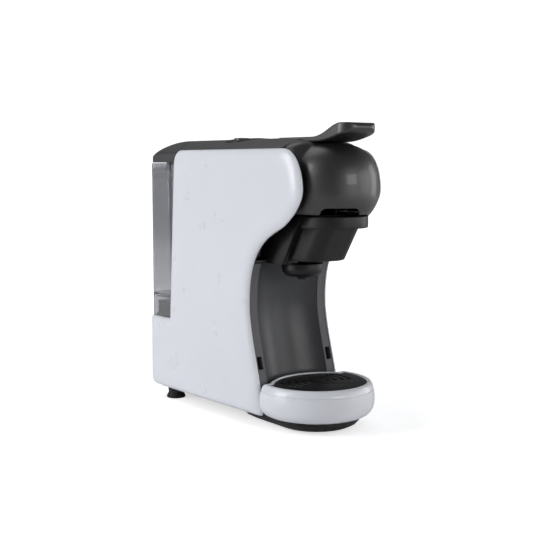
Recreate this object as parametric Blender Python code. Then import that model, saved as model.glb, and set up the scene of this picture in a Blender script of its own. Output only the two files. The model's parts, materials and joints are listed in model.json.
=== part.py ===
"""Pod coffee machine: casing, brew head with lever press, capsule drawer, drip tray and water tank.

The machine faces -Y and stands on Z = 0. X = 0 is its middle plane, and Y = 0 is halfway
between the front of the head and the back. Each moving piece hangs from an empty on its joint.
"""
from math import atan2, cos, hypot, pi, radians, sin, sqrt

import bmesh
import bpy

MM = 0.001          # every size below is in millimetres
GAP = 0.3           # clearance between pieces that touch
WALL = 2.5          # wall of the moulded casings

# Casing
WIDTH = 118.0       # across the two side panels
REAR = 155.0        # back of the machine
PANEL_TOP = 291.5
PANEL_BOTTOM = 12.7
PANEL_DEPTH = 6.0   # from the panel's face to its inner edge
PANEL_ROUND = 5.0
PLAN_CORNER = 10.0  # upright corners at the back
FOOT_CORNER = 12.0  # lower back corner, seen from the side
TOE_CORNER = 4.0
LEDGE = 97.0        # top of the white lower back, under the water tank
EDGE_LOW = 110.0    # panel edge beside the tank, at the ledge
EDGE_HIGH = 99.0    # and where its top corner begins
EDGE_CORNER = (15.0, 16.5)

# Front edge of the side panels: bulge at the head, waist at the column, foot at the tray
BROW_Y = -92.3
BULGE = (-123.3, 249.6)
TURN = (-86.5, 209.2)
TURN_SLOPE = 0.38
WAIST = (-37.2, 127.6)
TOE = (-60.4, 16.5)
BROW_PULL = (20.6, 20.7)     # lengths of each cubic's two end tangents
BULGE_PULL = (15.4, 14.3)
TURN_PULL = (43.4, 36.9)
TOE_PULL = (30.4, 30.7)
TOE_LEAN = 2.1

# Top cover and the seam between it and the tank lid
CROWN = 303.5       # height of the crown on the middle plane
CROWN_DROP = 12.5   # how much lower the crown is at its sides
COVER_WALL = 3.0
HEAD_SEAM = -86.0
SEAM_MID = 118.0
SEAM_SWEEP = 21.0
SEAM_HALF = WIDTH / 2 - 9.0  # where the seam has swept forward by that much

# Column and rails behind the cup
RAIL_IN = 42.0
RAIL_DEPTH = 9.0
RAIL_BACK = 1.0     # rails stand this far behind the panels' front edge
COLUMN_BACK = 1.5
COLUMN_FOOT = 50.0  # below this height the column runs straight down
SOFFIT = 172.0      # underside of the head
CHEEK_BACK = 2.0
SLOT = (6.5, 13.0, 67.0)

# Head dome
DOME_Y = -108.0
DOME_RADIUS = 47.0
DOME_BOTTOM = 225.5
DOME_WIDEST = 251.0
DOME_TOP = 297.0
DOME_TUCK = 9.0     # how far the dome draws in at its lower edge
DOME_SHARPNESS = 2.5
DOME_BACK = -70.0

# Lever and press
PIVOT = (-50.0, 291.0)
LEVER_HALF = 22.5
LEVER_THICK = 5.0
LEVER_TOP = 303.3
LEVER_NOSE = 11.0     # thickness of the grip at its tip
LEVER_TIP = (-149.0, 316.5)
LEVER_RISE = (-98.0, -140.0)
TIP_CORNER = 9.0
CRANK = (-10.0, -6.0)
PIN_R = 2.5
SMALL_PIN_R = 1.5
BREW_Y = -61.0
LINK_LENGTH = 27.0
LEVER_SWING = 75.0
PRESS_R = 20.0
PRESS_THICK = 10.0
STEM_R = 9.0
CHEEK_IN = LEVER_HALF + 1.5
CHEEK_THICK = 3.0

# Capsule drawer
DRAWER_TOP = 223.7
DRAWER_BOTTOM = 176.0
DRAWER_HALF = 27.3
LIP_R = 36.5
LIP_BOTTOM = 211.5
LIP_BACK = -101.5
WELL_R = 15.5
WELL_RIM_R = 19.0
WELL_FLOOR = 184.0
GUIDE_WALL = 7.4

# Drip tray
TRAY_Y = -83.0
TRAY_R = 62.5
TRAY_BACK_R = TRAY_R + 4.6
TRAY_CLEAR = 1.6    # between the tray and the column behind it
TRAY_BOTTOM = 12.8
TRAY_TOP = 48.6
GRID_INSET = 8.0
GRID_THICK = 2.6
GRID_TOP = 47.6
GRID_CLEAR = 1.0    # round the grid in its seat
TRAY_WALL = 3.0
COLUMN_RADIUS = TRAY_BACK_R + 0.9

# Base
PEDESTAL_TOP = 12.5
PEDESTAL_BOTTOM = 2.0
PEDESTAL_HALF = 45.0
FLOOR_THICK = 3.0
FOOT_X = WIDTH / 2 - 16.0
FOOT_Y = REAR - 34.0
FOOT_R = 11.0

# Water tank
TANK_BACK = REAR - 3.0
TANK_HALF = WIDTH / 2 - 2.5
TANK_TOP = 277.0
TANK_FLOOR = 124.0
TANK_WALL = 2.2
LID_HALF = WIDTH / 2 - 1.5
LID_ROUND = 20.0
LID_SHOULDER = 9.0
VALVE_Y = REAR - 22.0
VALVE_TRAVEL = 3.0

# Controls
BUTTON_X = 14.0
BUTTON_Y = 27.0
BUTTON_R = 8.5
BEZEL_HALF = (30.0, 15.0)
BEZEL_PROUD = 1.0    # above the crown
BUTTON_PROUD = 0.9
BUTTON_TRAVEL = 1.2
SWITCH = (22.0, 45.0)
INLET = (-22.0, 38.0)

LOOKS = {
    "white": ((0.80, 0.82, 0.86), 0.25, 0.0),
    "gloss_black": ((0.012, 0.012, 0.014), 0.12, 0.0),
    "dark_plastic": ((0.030, 0.030, 0.034), 0.45, 0.0),
    "column_grey": ((0.070, 0.072, 0.078), 0.30, 0.0),
    "rail_grey": ((0.16, 0.16, 0.17), 0.55, 0.0),
    "clear": ((0.70, 0.72, 0.75), 0.08, 0.0),
    "rubber": ((0.015, 0.015, 0.015), 0.80, 0.0),
    "steel": ((0.60, 0.60, 0.60), 0.30, 1.0),
    "aluminium": ((0.70, 0.70, 0.72), 0.40, 1.0),
    "board_green": ((0.02, 0.16, 0.06), 0.50, 0.0),
    "silicone": ((0.75, 0.75, 0.72), 0.60, 0.0),
}

HINGES = {}


# ---------------------------------------------------------------- shapes

def clear_scene():
    for item in list(bpy.data.objects):
        bpy.data.objects.remove(item, do_unlink=True)


def material_for(name, look):
    colour, roughness, metallic = LOOKS[look]
    material = bpy.data.materials.new(name)
    material.use_nodes = True
    shader = material.node_tree.nodes["Principled BSDF"]
    shader.inputs["Base Color"].default_value = (*colour, 1.0)
    shader.inputs["Roughness"].default_value = roughness
    shader.inputs["Metallic"].default_value = metallic
    return material


def hinge_empty(name, place, parent=None):
    """An empty on a joint's axis; moving pieces are parented to it."""
    empty = bpy.data.objects.new(name + "_axis", None)
    bpy.context.collection.objects.link(empty)
    HINGES[name] = (empty, place)
    base = (0.0, 0.0, 0.0)
    if parent:
        empty.parent, base = HINGES[parent]
    empty.location = [(a - b) * MM for a, b in zip(place, base)]


def add_piece(name, points, faces, look="dark_plastic", joint=None):
    """A closed mesh from points in millimetres; its origin is on its joint's axis."""
    origin = HINGES[joint][1] if joint else (0.0, 0.0, 0.0)
    mesh = bpy.data.meshes.new(name)
    local = [tuple((a - b) * MM for a, b in zip(point, origin)) for point in points]
    mesh.from_pydata(local, [], faces)
    shell = bmesh.new()
    shell.from_mesh(mesh)
    bmesh.ops.recalc_face_normals(shell, faces=shell.faces)
    shell.to_mesh(mesh)
    shell.free()
    mesh.shade_smooth()
    mesh.set_sharp_from_angle(angle=radians(35))
    piece = bpy.data.objects.new(name, mesh)
    bpy.context.collection.objects.link(piece)
    mesh.materials.append(material_for(name, look))
    if joint:
        piece.parent = HINGES[joint][0]
    return piece


def guide(piece):
    """Mark a piece as a cutter or a union operand only."""
    piece.hide_render = True
    piece.display_type = "WIRE"
    return piece


def boolean(piece, operation, others):
    for other in others:
        step = piece.modifiers.new(other.name, "BOOLEAN")
        step.operation = operation
        step.solver = "EXACT"
        step.object = guide(other)
    return piece


def cut(piece, *others):
    return boolean(piece, "DIFFERENCE", others)


def join(piece, *others):
    return boolean(piece, "UNION", others)


def keep(piece, *others):
    return boolean(piece, "INTERSECT", others)


def loft(name, rings, **how):
    """Skin between closed rings of equal length, with a flat cap on each end."""
    count = len(rings[0])
    points = [point for ring in rings for point in ring]
    faces = [tuple(range(count)), tuple(range(len(points) - count, len(points)))]
    for level in range(len(rings) - 1):
        low = level * count
        for i in range(count):
            j = (i + 1) % count
            faces.append((low + i, low + j, low + count + j, low + count + i))
    return add_piece(name, points, faces, **how)


def on_axis(axis, outline, at):
    """Outline points (a, b) placed at a distance along X, Y or Z."""
    if axis == "X":
        return [(at, a, b) for a, b in outline]
    if axis == "Y":
        return [(a, at, b) for a, b in outline]
    return [(a, b, at) for a, b in outline]


def prism(name, axis, outline, low, high, **how):
    return loft(name, [on_axis(axis, outline, low), on_axis(axis, outline, high)], **how)


def box(name, low, high, **how):
    outline = [(low[0], low[1]), (high[0], low[1]), (high[0], high[1]), (low[0], high[1])]
    return prism(name, "Z", outline, low[2], high[2], **how)


def arc(centre, radius, start, end, steps):
    """Points of an arc in degrees; radius may be a pair of half-axes."""
    wide, tall = radius if isinstance(radius, tuple) else (radius, radius)
    angles = [radians(start + (end - start) * i / steps) for i in range(steps + 1)]
    return [(centre[0] + wide * cos(a), centre[1] + tall * sin(a)) for a in angles]


def circle(centre, radius, steps=24):
    return arc(centre, radius, 0, 360, steps)[:-1]


def rounded(low, high, radius, steps=4):
    """Rectangle with round corners."""
    (x0, y0), (x1, y1) = low, high
    corners = [((x1 - radius, y1 - radius), 0), ((x0 + radius, y1 - radius), 90),
               ((x0 + radius, y0 + radius), 180), ((x1 - radius, y0 + radius), 270)]
    return [p for spot, turn in corners for p in arc(spot, radius, turn, turn + 90, steps)]


def capsule(start, end, radius, end_radius=None, steps=8):
    """Outline of a bar with round ends."""
    tip = radius if end_radius is None else end_radius
    turn = atan2(end[1] - start[1], end[0] - start[0]) * 180 / pi
    return arc(start, radius, turn + 90, turn + 270, steps) + arc(end, tip, turn - 90, turn + 90, steps)


def inset(outline, distance):
    """Each edge moved inwards by a distance, whichever way the outline runs."""
    area = sum(a[0] * b[1] - b[0] * a[1] for a, b in zip(outline, outline[1:] + outline[:1]))
    side = distance if area > 0 else -distance
    moved = []
    for before, here, after in zip(outline[-1:] + outline[:-1], outline, outline[1:] + outline[:1]):
        first = (here[0] - before[0], here[1] - before[1])
        second = (after[0] - here[0], after[1] - here[1])
        n1 = (-first[1] / hypot(*first), first[0] / hypot(*first))
        n2 = (-second[1] / hypot(*second), second[0] / hypot(*second))
        scale = side / (1 + n1[0] * n2[0] + n1[1] * n2[1])
        moved.append((here[0] + (n1[0] + n2[0]) * scale, here[1] + (n1[1] + n2[1]) * scale))
    return moved


def turned(name, profile, centre, steps=24, axis="Z", ring=False, **how):
    """Solid of revolution; a ring's profile is a closed loop, otherwise it meets the axis."""
    points, faces, rows = [], [], []
    for radius, height in profile:
        count = 1 if radius == 0 else steps
        rows.append(range(len(points), len(points) + count))
        for i in range(count):
            turn = 2 * pi * i / steps
            side, other = radius * cos(turn), radius * sin(turn)
            local = {"Z": (side, other, height), "Y": (side, height, other), "X": (height, side, other)}[axis]
            points.append(tuple(a + b for a, b in zip(centre, local)))
    pairs = list(zip(rows, rows[1:])) + ([(rows[-1], rows[0])] if ring else [])
    for low, high in pairs:
        for i in range(steps):
            j = (i + 1) % steps
            corners = [low[i % len(low)], low[j % len(low)], high[j % len(high)], high[i % len(high)]]
            faces.append(tuple(dict.fromkeys(corners)))
    return add_piece(name, points, [face for face in faces if len(face) > 2], **how)


def washer(inner, outer, low, high):
    return [(inner, low), (outer, low), (outer, high), (inner, high)]


def tube(name, route, radius, look, sides=8, per_span=3):
    """Round hose along a smooth curve through the route's points."""
    curve = bpy.data.curves.new(name, "CURVE")
    curve.dimensions = "3D"
    curve.bevel_depth = radius * MM
    curve.bevel_resolution = sides // 4
    curve.use_fill_caps = True
    spots = smooth(route, per_span)
    line = curve.splines.new("POLY")
    line.points.add(len(spots) - 1)
    for point, spot in zip(line.points, spots):
        point.co = (*[a * MM for a in spot], 1.0)
    curve.materials.append(material_for(name, look))
    hose = bpy.data.objects.new(name, curve)
    bpy.context.collection.objects.link(hose)
    return hose


def smooth(route, per_span):
    """Catmull-Rom curve through the route's points."""
    ends = [route[0]] + route + [route[-1]]
    spots = []
    for a, b, c, d in zip(ends, ends[1:], ends[2:], ends[3:]):
        for i in range(per_span):
            t = i / per_span
            spots.append(tuple(
                0.5 * (2 * q + (r - p) * t + (2 * p - 5 * q + 4 * r - s) * t * t
                       + (3 * q - p - 3 * r + s) * t ** 3) for p, q, r, s in zip(a, b, c, d)))
    return spots + [route[-1]]


# ---------------------------------------------------------------- shared curves

def bezier(start, pull_start, pull_end, end, steps):
    spots = []
    for i in range(steps + 1):
        t = i / steps
        spots.append(tuple((1 - t) ** 3 * a + 3 * (1 - t) ** 2 * t * b + 3 * (1 - t) * t * t * c + t ** 3 * d
                           for a, b, c, d in zip(start, pull_start, pull_end, end)))
    return spots


def front_edge():
    """The panels' front edge from the brow down to the toe: four cubic curves."""
    brow = (BROW_Y, PANEL_TOP)
    lean = (cos(TURN_SLOPE), -sin(TURN_SLOPE))
    before = (TURN[0] - BULGE_PULL[1] * lean[0], TURN[1] - BULGE_PULL[1] * lean[1])
    after = (TURN[0] + TURN_PULL[0] * lean[0], TURN[1] + TURN_PULL[0] * lean[1])
    spots = bezier(brow, (BROW_Y - BROW_PULL[0], PANEL_TOP), (BULGE[0], BULGE[1] + BROW_PULL[1]), BULGE, 6)
    spots += bezier(BULGE, (BULGE[0], BULGE[1] - BULGE_PULL[0]), before, TURN, 6)[1:]
    spots += bezier(TURN, after, (WAIST[0], WAIST[1] + TURN_PULL[1]), WAIST, 7)[1:]
    above = (TOE[0] + TOE_LEAN, TOE[1] + TOE_PULL[1])
    spots += bezier(WAIST, (WAIST[0], WAIST[1] - TOE_PULL[0]), above, TOE, 5)[1:]
    return spots


def edge_at(height):
    """Y of the front edge at a height on the column."""
    spots = front_edge()
    for (y0, z0), (y1, z1) in zip(spots, spots[1:]):
        if z1 <= height <= z0:
            return y1 + (y0 - y1) * (height - z1) / (z0 - z1)
    return spots[-1][0]


def column_heights():
    low = PANEL_BOTTOM + FLOOR_THICK + GAP
    steps = 8
    rise = [COLUMN_FOOT + (SOFFIT - GAP - COLUMN_FOOT) * i / steps for i in range(steps + 1)]
    return [low] + rise


def column_y(height, back):
    return edge_at(max(height, COLUMN_FOOT)) + back


def crown_at(x):
    half = WIDTH / 2 - PANEL_DEPTH - GAP
    return CROWN - CROWN_DROP * (x / half) ** 2


def crown_arc(drop, steps=16):
    half = WIDTH / 2 - PANEL_DEPTH - GAP
    across = [half - 2 * half * i / steps for i in range(steps + 1)]
    return [(x, crown_at(x) - drop) for x in across]


def seam_at(x):
    return SEAM_MID - SEAM_SWEEP * (x / SEAM_HALF) ** 2


def seam_line(half, shift, steps=14):
    across = [-half + 2 * half * i / steps for i in range(steps + 1)]
    return [(x, seam_at(x) + shift) for x in across]


# ---------------------------------------------------------------- casing

def panel_outline():
    toe = (TOE[0] + TOE_CORNER, PANEL_BOTTOM + TOE_CORNER)
    high = (EDGE_HIGH - EDGE_CORNER[0], PANEL_TOP - EDGE_CORNER[1])
    return (front_edge()[:-1] + arc(toe, TOE_CORNER, 180, 270, 3)
            + arc((REAR - FOOT_CORNER, PANEL_BOTTOM + FOOT_CORNER), FOOT_CORNER, -90, 0, 4)
            + [(REAR, LEDGE), (EDGE_LOW, LEDGE)] + arc(high, EDGE_CORNER, 0, 90, 5))


def side_panel(name, side):
    """Hollow panel with a soft outer edge, wrapped round the lower back corner."""
    half = WIDTH / 2
    inner = half - PANEL_DEPTH
    corner = (half - PLAN_CORNER, REAR - PLAN_CORNER)
    outline = panel_outline()
    rings = [on_axis("X", outline, side * corner[0])]
    for turn in (0, 22, 45, 68, 90):
        reach = half - PANEL_ROUND * (1 - sin(radians(turn)))
        rings.append(on_axis("X", inset(outline, PANEL_ROUND * (1 - cos(radians(turn)))), side * reach))
    panel = loft(name, rings, look="white")
    outside = [(half + 1, corner[1])] + arc(corner, PLAN_CORNER, 0, 90, 6) + [(corner[0], REAR + 1)]
    outside.append((half + 1, REAR + 1))
    pocket = [(corner[0] - 1, corner[1] - 1), (half - WALL, corner[1] - 1)]
    pocket += arc(corner, PLAN_CORNER - WALL, 0, 90, 6) + [(corner[0] - 1, REAR - WALL)]
    hollow = inset(outline, WALL)
    hollow = [(min(y, corner[1]), z) for y, z in hollow]
    hollow = [p for p, q in zip(hollow, hollow[1:] + hollow[:1]) if p != q]
    flip = [(side * x, y) for x, y in outside], [(side * x, y) for x, y in pocket]
    return cut(panel,
               prism(name + "_corner", "Z", flip[0], 0, LEDGE + 10),
               box(name + "_depth", (min(side * (corner[0] - 1), side * inner), BULGE[0] - 10, 0),
                   (max(side * (corner[0] - 1), side * inner), corner[1], PANEL_TOP + 10)),
               prism(name + "_hollow", "X", hollow, side * (inner - 1), side * (half - WALL)),
               prism(name + "_pocket", "Z", flip[1], PANEL_BOTTOM + FOOT_CORNER, LEDGE - WALL))


def rear_cover():
    """White plate between the two panel corners, with vents, switch and cord openings."""
    half = WIDTH / 2 - PLAN_CORNER - GAP
    heel = (REAR - FOOT_CORNER, PANEL_BOTTOM + FOOT_CORNER)
    section = [(REAR, LEDGE - GAP), (REAR - WALL, LEDGE - GAP)]
    section += arc(heel, FOOT_CORNER - WALL, 0, -90, 5)
    section += [(heel[0] - 8, PANEL_BOTTOM + WALL), (heel[0] - 8, PANEL_BOTTOM)]
    section += arc(heel, FOOT_CORNER, -90, 0, 5)
    cover = prism("rear_cover", "X", section, -half, half, look="white")
    frame = [(SWITCH[0] + a, SWITCH[1] + b) for a, b in rounded((-9, -12), (9, 12), 2, 2)]
    holes = [prism("switch_opening", "Y", frame, REAR - 10, REAR + 5),
             prism("cord_opening", "Y", circle(INLET, 7.3, 24), REAR - 10, REAR + 5)]
    for i in range(5):
        z = 72 + 4.5 * i
        slot = rounded((-30, z), (30, z + 1.8), 0.8, 2)
        holes.append(prism(f"vent_{i}", "Y", slot, REAR - 10, REAR + 5))
    return cut(cover, *holes)


def top_cover():
    """Crowned gloss cover with the lever's slot and the opening for the controls."""
    section = crown_arc(0) + crown_arc(COVER_WALL)[::-1]
    cover = prism("top_cover", "Y", section, HEAD_SEAM, SEAM_MID + 2, look="gloss_black")
    half = WIDTH / 2
    behind = seam_line(half, -GAP) + [(half, SEAM_MID + 20), (-half, SEAM_MID + 20)]
    nose = LEVER_TOP - PIVOT[1]
    low, high = bezel_corners(GAP)
    return cut(cover,
               prism("cover_seam", "Z", behind, PANEL_TOP - 20, CROWN + 5),
               box("lever_slot", (-LEVER_HALF - 0.8, HEAD_SEAM - 5, PANEL_TOP - 20),
                   (LEVER_HALF + 0.8, PIVOT[0] + nose + 0.7, CROWN + 5)),
               prism("bezel_opening", "Z", rounded(low, high, 10, 6), PANEL_TOP - 20, CROWN + 5))


def bulkhead():
    """Upright wall between the works and the tank, bent along the seam."""
    half = WIDTH / 2 - PANEL_DEPTH - GAP
    plan = seam_line(half, -0.7) + seam_line(half, -0.7 - WALL)[::-1]
    low = PANEL_BOTTOM + FLOOR_THICK + GAP
    wall = prism("bulkhead", "Z", plan, low, PANEL_TOP - 5.5, look="dark_plastic")
    return cut(wall, prism("hose_opening", "Y", circle((-18, 86), 4.5, 20), 80, 140))


def rail(name, side):
    """Flat grey rail beside the column; its front follows the panels."""
    heights = column_heights()
    front = [(column_y(z, RAIL_BACK), z) for z in heights]
    back = [(y + RAIL_DEPTH, z) for y, z in reversed(front)]
    low, high = sorted((side * RAIL_IN, side * (WIDTH / 2 - PANEL_DEPTH - GAP)))
    strip = prism(name, "X", front + back, low, high, look="rail_grey")
    wide, tall, z = SLOT
    x = side * (RAIL_IN + 5.9)
    return cut(strip, box(name + "_slot", (x - wide / 2, edge_at(z) - 10, z - tall / 2),
                          (x + wide / 2, edge_at(z) + 4, z + tall / 2)))


def cheek(name, side):
    """Dark inner wall of the head, between the panel's open inside and the dome."""
    outline = [(y + CHEEK_BACK, z) for y, z in front_edge() if z > SOFFIT + 12]
    outline += [(edge_at(SOFFIT + 4) + CHEEK_BACK, SOFFIT + 4), (-30, SOFFIT + 4), (-30, PANEL_TOP - 5)]
    outline = [(y, min(z, PANEL_TOP - 5)) for y, z in outline]
    outline = [p for p, q in zip(outline, outline[1:] + outline[:1]) if p != q]
    outer = WIDTH / 2 - PANEL_DEPTH - GAP
    low, high = sorted((side * (outer - WALL), side * outer))
    prism(name, "X", outline, low, high, look="gloss_black")


def column_cover():
    """Concave glossy panel between the rails, swept along the panels' front edge."""
    half = RAIL_IN - GAP
    rings = []
    steps = 10
    across = [-half + 2 * half * i / steps for i in range(steps + 1)]
    for z in column_heights():
        edge = column_y(z, COLUMN_BACK)
        dip = [sqrt(COLUMN_RADIUS ** 2 - x * x) - sqrt(COLUMN_RADIUS ** 2 - half * half) for x in across]
        ring = [(x, edge + d, z) for x, d in zip(across, dip)]
        ring += [(x, edge + d + WALL, z) for x, d in reversed(list(zip(across, dip)))]
        rings.append(ring)
    return loft("column_cover", rings, look="column_grey")


def base_plate():
    """Floor of the casing and the pedestal that the tray stands on."""
    half = WIDTH / 2 - PANEL_DEPTH - GAP
    front = tray_back() + 0.6
    plate = box("base_plate", (-half, front, PEDESTAL_TOP),
                (half, REAR - FOOT_CORNER - 8 - GAP, PEDESTAL_TOP + FLOOR_THICK))
    plan = arc((0, TRAY_Y), PEDESTAL_HALF + 2, 180, 360, 14) + arc((0, -30), PEDESTAL_HALF, 0, 180, 10)
    rings = [on_axis("Z", inset(plan, PEDESTAL_HALF * 0.2), PEDESTAL_BOTTOM)]
    rings += [on_axis("Z", inset(plan, 3), PEDESTAL_BOTTOM + 3), on_axis("Z", plan, PEDESTAL_BOTTOM + 6.5),
              on_axis("Z", plan, PEDESTAL_TOP)]
    rings.append(on_axis("Z", inset(plan, 1.0), PEDESTAL_TOP + 0.01))
    join(plate, loft("pedestal", rings))
    shanks = [prism(f"screw_hole_{i}", "Z", circle(spot, 1.8, 16), PEDESTAL_TOP - 5, PEDESTAL_TOP + 10)
              for i, spot in enumerate(screw_spots())]
    return cut(plate, *shanks)


def screw_spots():
    return [(x, y) for x in (-26, 26) for y in (20, 92)]


def feet():
    under = PEDESTAL_TOP - GAP
    for side, name in ((-1, "left"), (1, "right")):
        foot = [(0, 0), (FOOT_R, 0), (FOOT_R, 2.5), (FOOT_R - 2.5, 7), (FOOT_R - 1.5, under), (0, under)]
        turned("rear_foot_" + name, foot, (side * FOOT_X, FOOT_Y, 0), 24, look="rubber")
        pad = [(0, 0), (9, 0), (9, PEDESTAL_BOTTOM - GAP), (0, PEDESTAL_BOTTOM - GAP)]
        turned("front_pad_" + name, pad, (side * 20, TRAY_Y - 8, 0), 24, look="rubber")
    for i, (x, y) in enumerate(screw_spots(), 1):
        screw = [(0, -5), (3.4, -5), (3.4, -2.6), (1.5, -2.6), (1.5, 5.4), (0, 5.4)]
        turned(f"base_screw_{i}", screw, (x, y, PEDESTAL_TOP + 2.3), 16, look="steel")


# ---------------------------------------------------------------- head

def dome_ring(z, wall):
    """U-shaped section of the dome: straight sides and a round front."""
    top = DOME_TOP - wall
    if z >= DOME_WIDEST:
        share = (z - DOME_WIDEST) / (top - DOME_WIDEST)
        close = (1 - min(share, 1) ** DOME_SHARPNESS) ** (1 / DOME_SHARPNESS)
    else:
        share = (DOME_WIDEST - z) / (DOME_WIDEST - DOME_BOTTOM)
        close = 1 - DOME_TUCK / DOME_RADIUS * share ** 2.5
    reach = DOME_RADIUS - wall
    side = reach * (1 - (1 - close) * (0.45 if z >= DOME_WIDEST else 0.8))
    full = HEAD_SEAM - DOME_Y + reach
    front = full * close if z >= DOME_WIDEST else full - reach * (1 - close)
    middle = HEAD_SEAM - min(HEAD_SEAM - DOME_Y, front * 0.32)
    bow = front - (HEAD_SEAM - middle)
    curve = arc((0, middle), (side, bow), 180, 360, 16)
    back = DOME_BACK + (1 if wall else 0)
    return on_axis("Z", curve + [(side, back), (-side, back)], z)


def dome_heights(wall):
    low = DOME_BOTTOM - (1 if wall else 0)
    lower = [DOME_BOTTOM + (DOME_WIDEST - DOME_BOTTOM) * i / 4 for i in range(1, 5)]
    rise = DOME_TOP - wall - DOME_WIDEST
    upper = [DOME_WIDEST + rise * sin(radians(t)) for t in (20, 38, 54, 66, 76, 84)]
    return [low] + lower + upper


def head_housing():
    """Glossy dome over the brew head, open below and behind, with a finger notch at the lip."""
    dome = loft("head_housing", [dome_ring(z, 0) for z in dome_heights(0)], look="gloss_black")
    hollow = loft("dome_hollow", [dome_ring(z, WALL) for z in dome_heights(WALL)])
    notch = prism("finger_notch", "Y", rounded((-24, DOME_BOTTOM - 8), (24, DOME_BOTTOM + 7), 6, 4),
                  DOME_Y - DOME_RADIUS - 5, DOME_Y - DOME_RADIUS + 22)
    step = box("cover_step", (-WIDTH / 2, HEAD_SEAM - GAP, PANEL_TOP - 5), (WIDTH / 2, 0, CROWN))
    return cut(dome, hollow, notch, step)


def brew_frame():
    """Fixed frame that carries the lever's pivot and guides the press."""
    low = DRAWER_TOP + GAP
    high = crown_at(CHEEK_IN + CHEEK_THICK) - COVER_WALL - GAP
    back = PIVOT[0] + (LEVER_TOP - PIVOT[1]) + 1.2
    front = HEAD_SEAM + 1
    outer = CHEEK_IN + CHEEK_THICK
    frame = box("brew_frame", (-outer, front, low), (outer, back + CHEEK_THICK, high), look="dark_plastic")
    deck = DRAWER_TOP + 2.3 + PRESS_THICK + press_lift() + 0.5
    return cut(frame,
               box("under_deck", (-CHEEK_IN, front - 1, low - 1), (CHEEK_IN, back, deck)),
               box("over_deck", (-CHEEK_IN, front - 1, deck + CHEEK_THICK), (CHEEK_IN, back, high + 1)),
               prism("stem_hole", "Z", circle((0, BREW_Y), STEM_R + 0.4, 28),
                     deck - 1, deck + CHEEK_THICK + 1),
               prism("pivot_hole", "X", circle(PIVOT, PIN_R + GAP, 20), -outer - 1, outer + 1))


def press_lift():
    """How far the crank pin, and with it the press, rises over the lever's whole swing."""
    swing = radians(LEVER_SWING)
    return -CRANK[0] * sin(swing) + CRANK[1] * cos(swing) - CRANK[1]


def capsule_guide():
    """Channel that the capsule drawer slides in, with the wide underside of the head."""
    inner = DRAWER_HALF + GAP
    outer = inner + GUIDE_WALL
    back = BREW_Y + 28
    floor = DRAWER_BOTTOM - GAP - 0.4
    slant = [(back, SOFFIT), (-69, SOFFIT), (-88, 205), (-99, DRAWER_TOP), (back, DRAWER_TOP)]
    body = prism("capsule_guide", "X", slant, -outer, outer, look="dark_plastic")
    half = WIDTH / 2 - PANEL_DEPTH - GAP
    wings = box("guide_wings", (-half, edge_at(SOFFIT) + RAIL_BACK, SOFFIT), (half, -12, floor))
    join(body, wings)
    return cut(body, box("guide_channel", (-inner, -120, floor), (inner, back - WALL, DRAWER_TOP + 5)),
               prism("guide_outlet", "Z", circle((0, BREW_Y), 8, 24), SOFFIT - 1, floor + 1))


def spout():
    """Bowl that catches the brew under the head and its small nozzle."""
    top = SOFFIT - GAP
    bowl = [(22, top), (22, top - 7), (19, top - 11.5), (13.5, top - 14), (13.5, top - 12.5),
            (18, top - 10), (20, top - 6.5), (20, top)]
    turned("spout_bowl", bowl, (0, BREW_Y, 0), 24, ring=True, look="dark_plastic")
    nozzle = [(13.2, top - 12.3), (13.2, top - 14.3), (6, top - 15), (5, top - 17.5), (3, top - 17.5),
              (3, top - 13), (11, top - 12.3)]
    turned("spout_nozzle", nozzle, (0, BREW_Y, 0), 28, ring=True, look="dark_plastic")


# ---------------------------------------------------------------- lever and press

def lever_profile():
    """Side view: a flat root round the pivot, then a rising grip with a round tip."""
    nose = LEVER_TOP - PIVOT[1]
    top = arc(PIVOT, nose, 0, 90, 6) + bezier((LEVER_RISE[0], LEVER_TOP), (LEVER_RISE[0] - 20, LEVER_TOP),
                                              (LEVER_RISE[1] + 14, LEVER_TIP[1] - 1.5),
                                              (LEVER_RISE[1], LEVER_TIP[1]), 8)
    mid = LEVER_TIP[1] - LEVER_NOSE / 2
    tip = arc((LEVER_TIP[0], mid), LEVER_NOSE / 2, 90, 270, 8)
    belly = (LEVER_RISE[1] + 1, LEVER_TIP[1] - LEVER_NOSE)
    plate = LEVER_TOP - LEVER_THICK
    under = bezier(belly, (belly[0] + 14, plate + 1), (LEVER_RISE[0] - 15, plate), (LEVER_RISE[0], plate), 8)
    inner = nose - LEVER_THICK
    return top + tip + under + arc(PIVOT, inner, 90, 0, 5)


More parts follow.
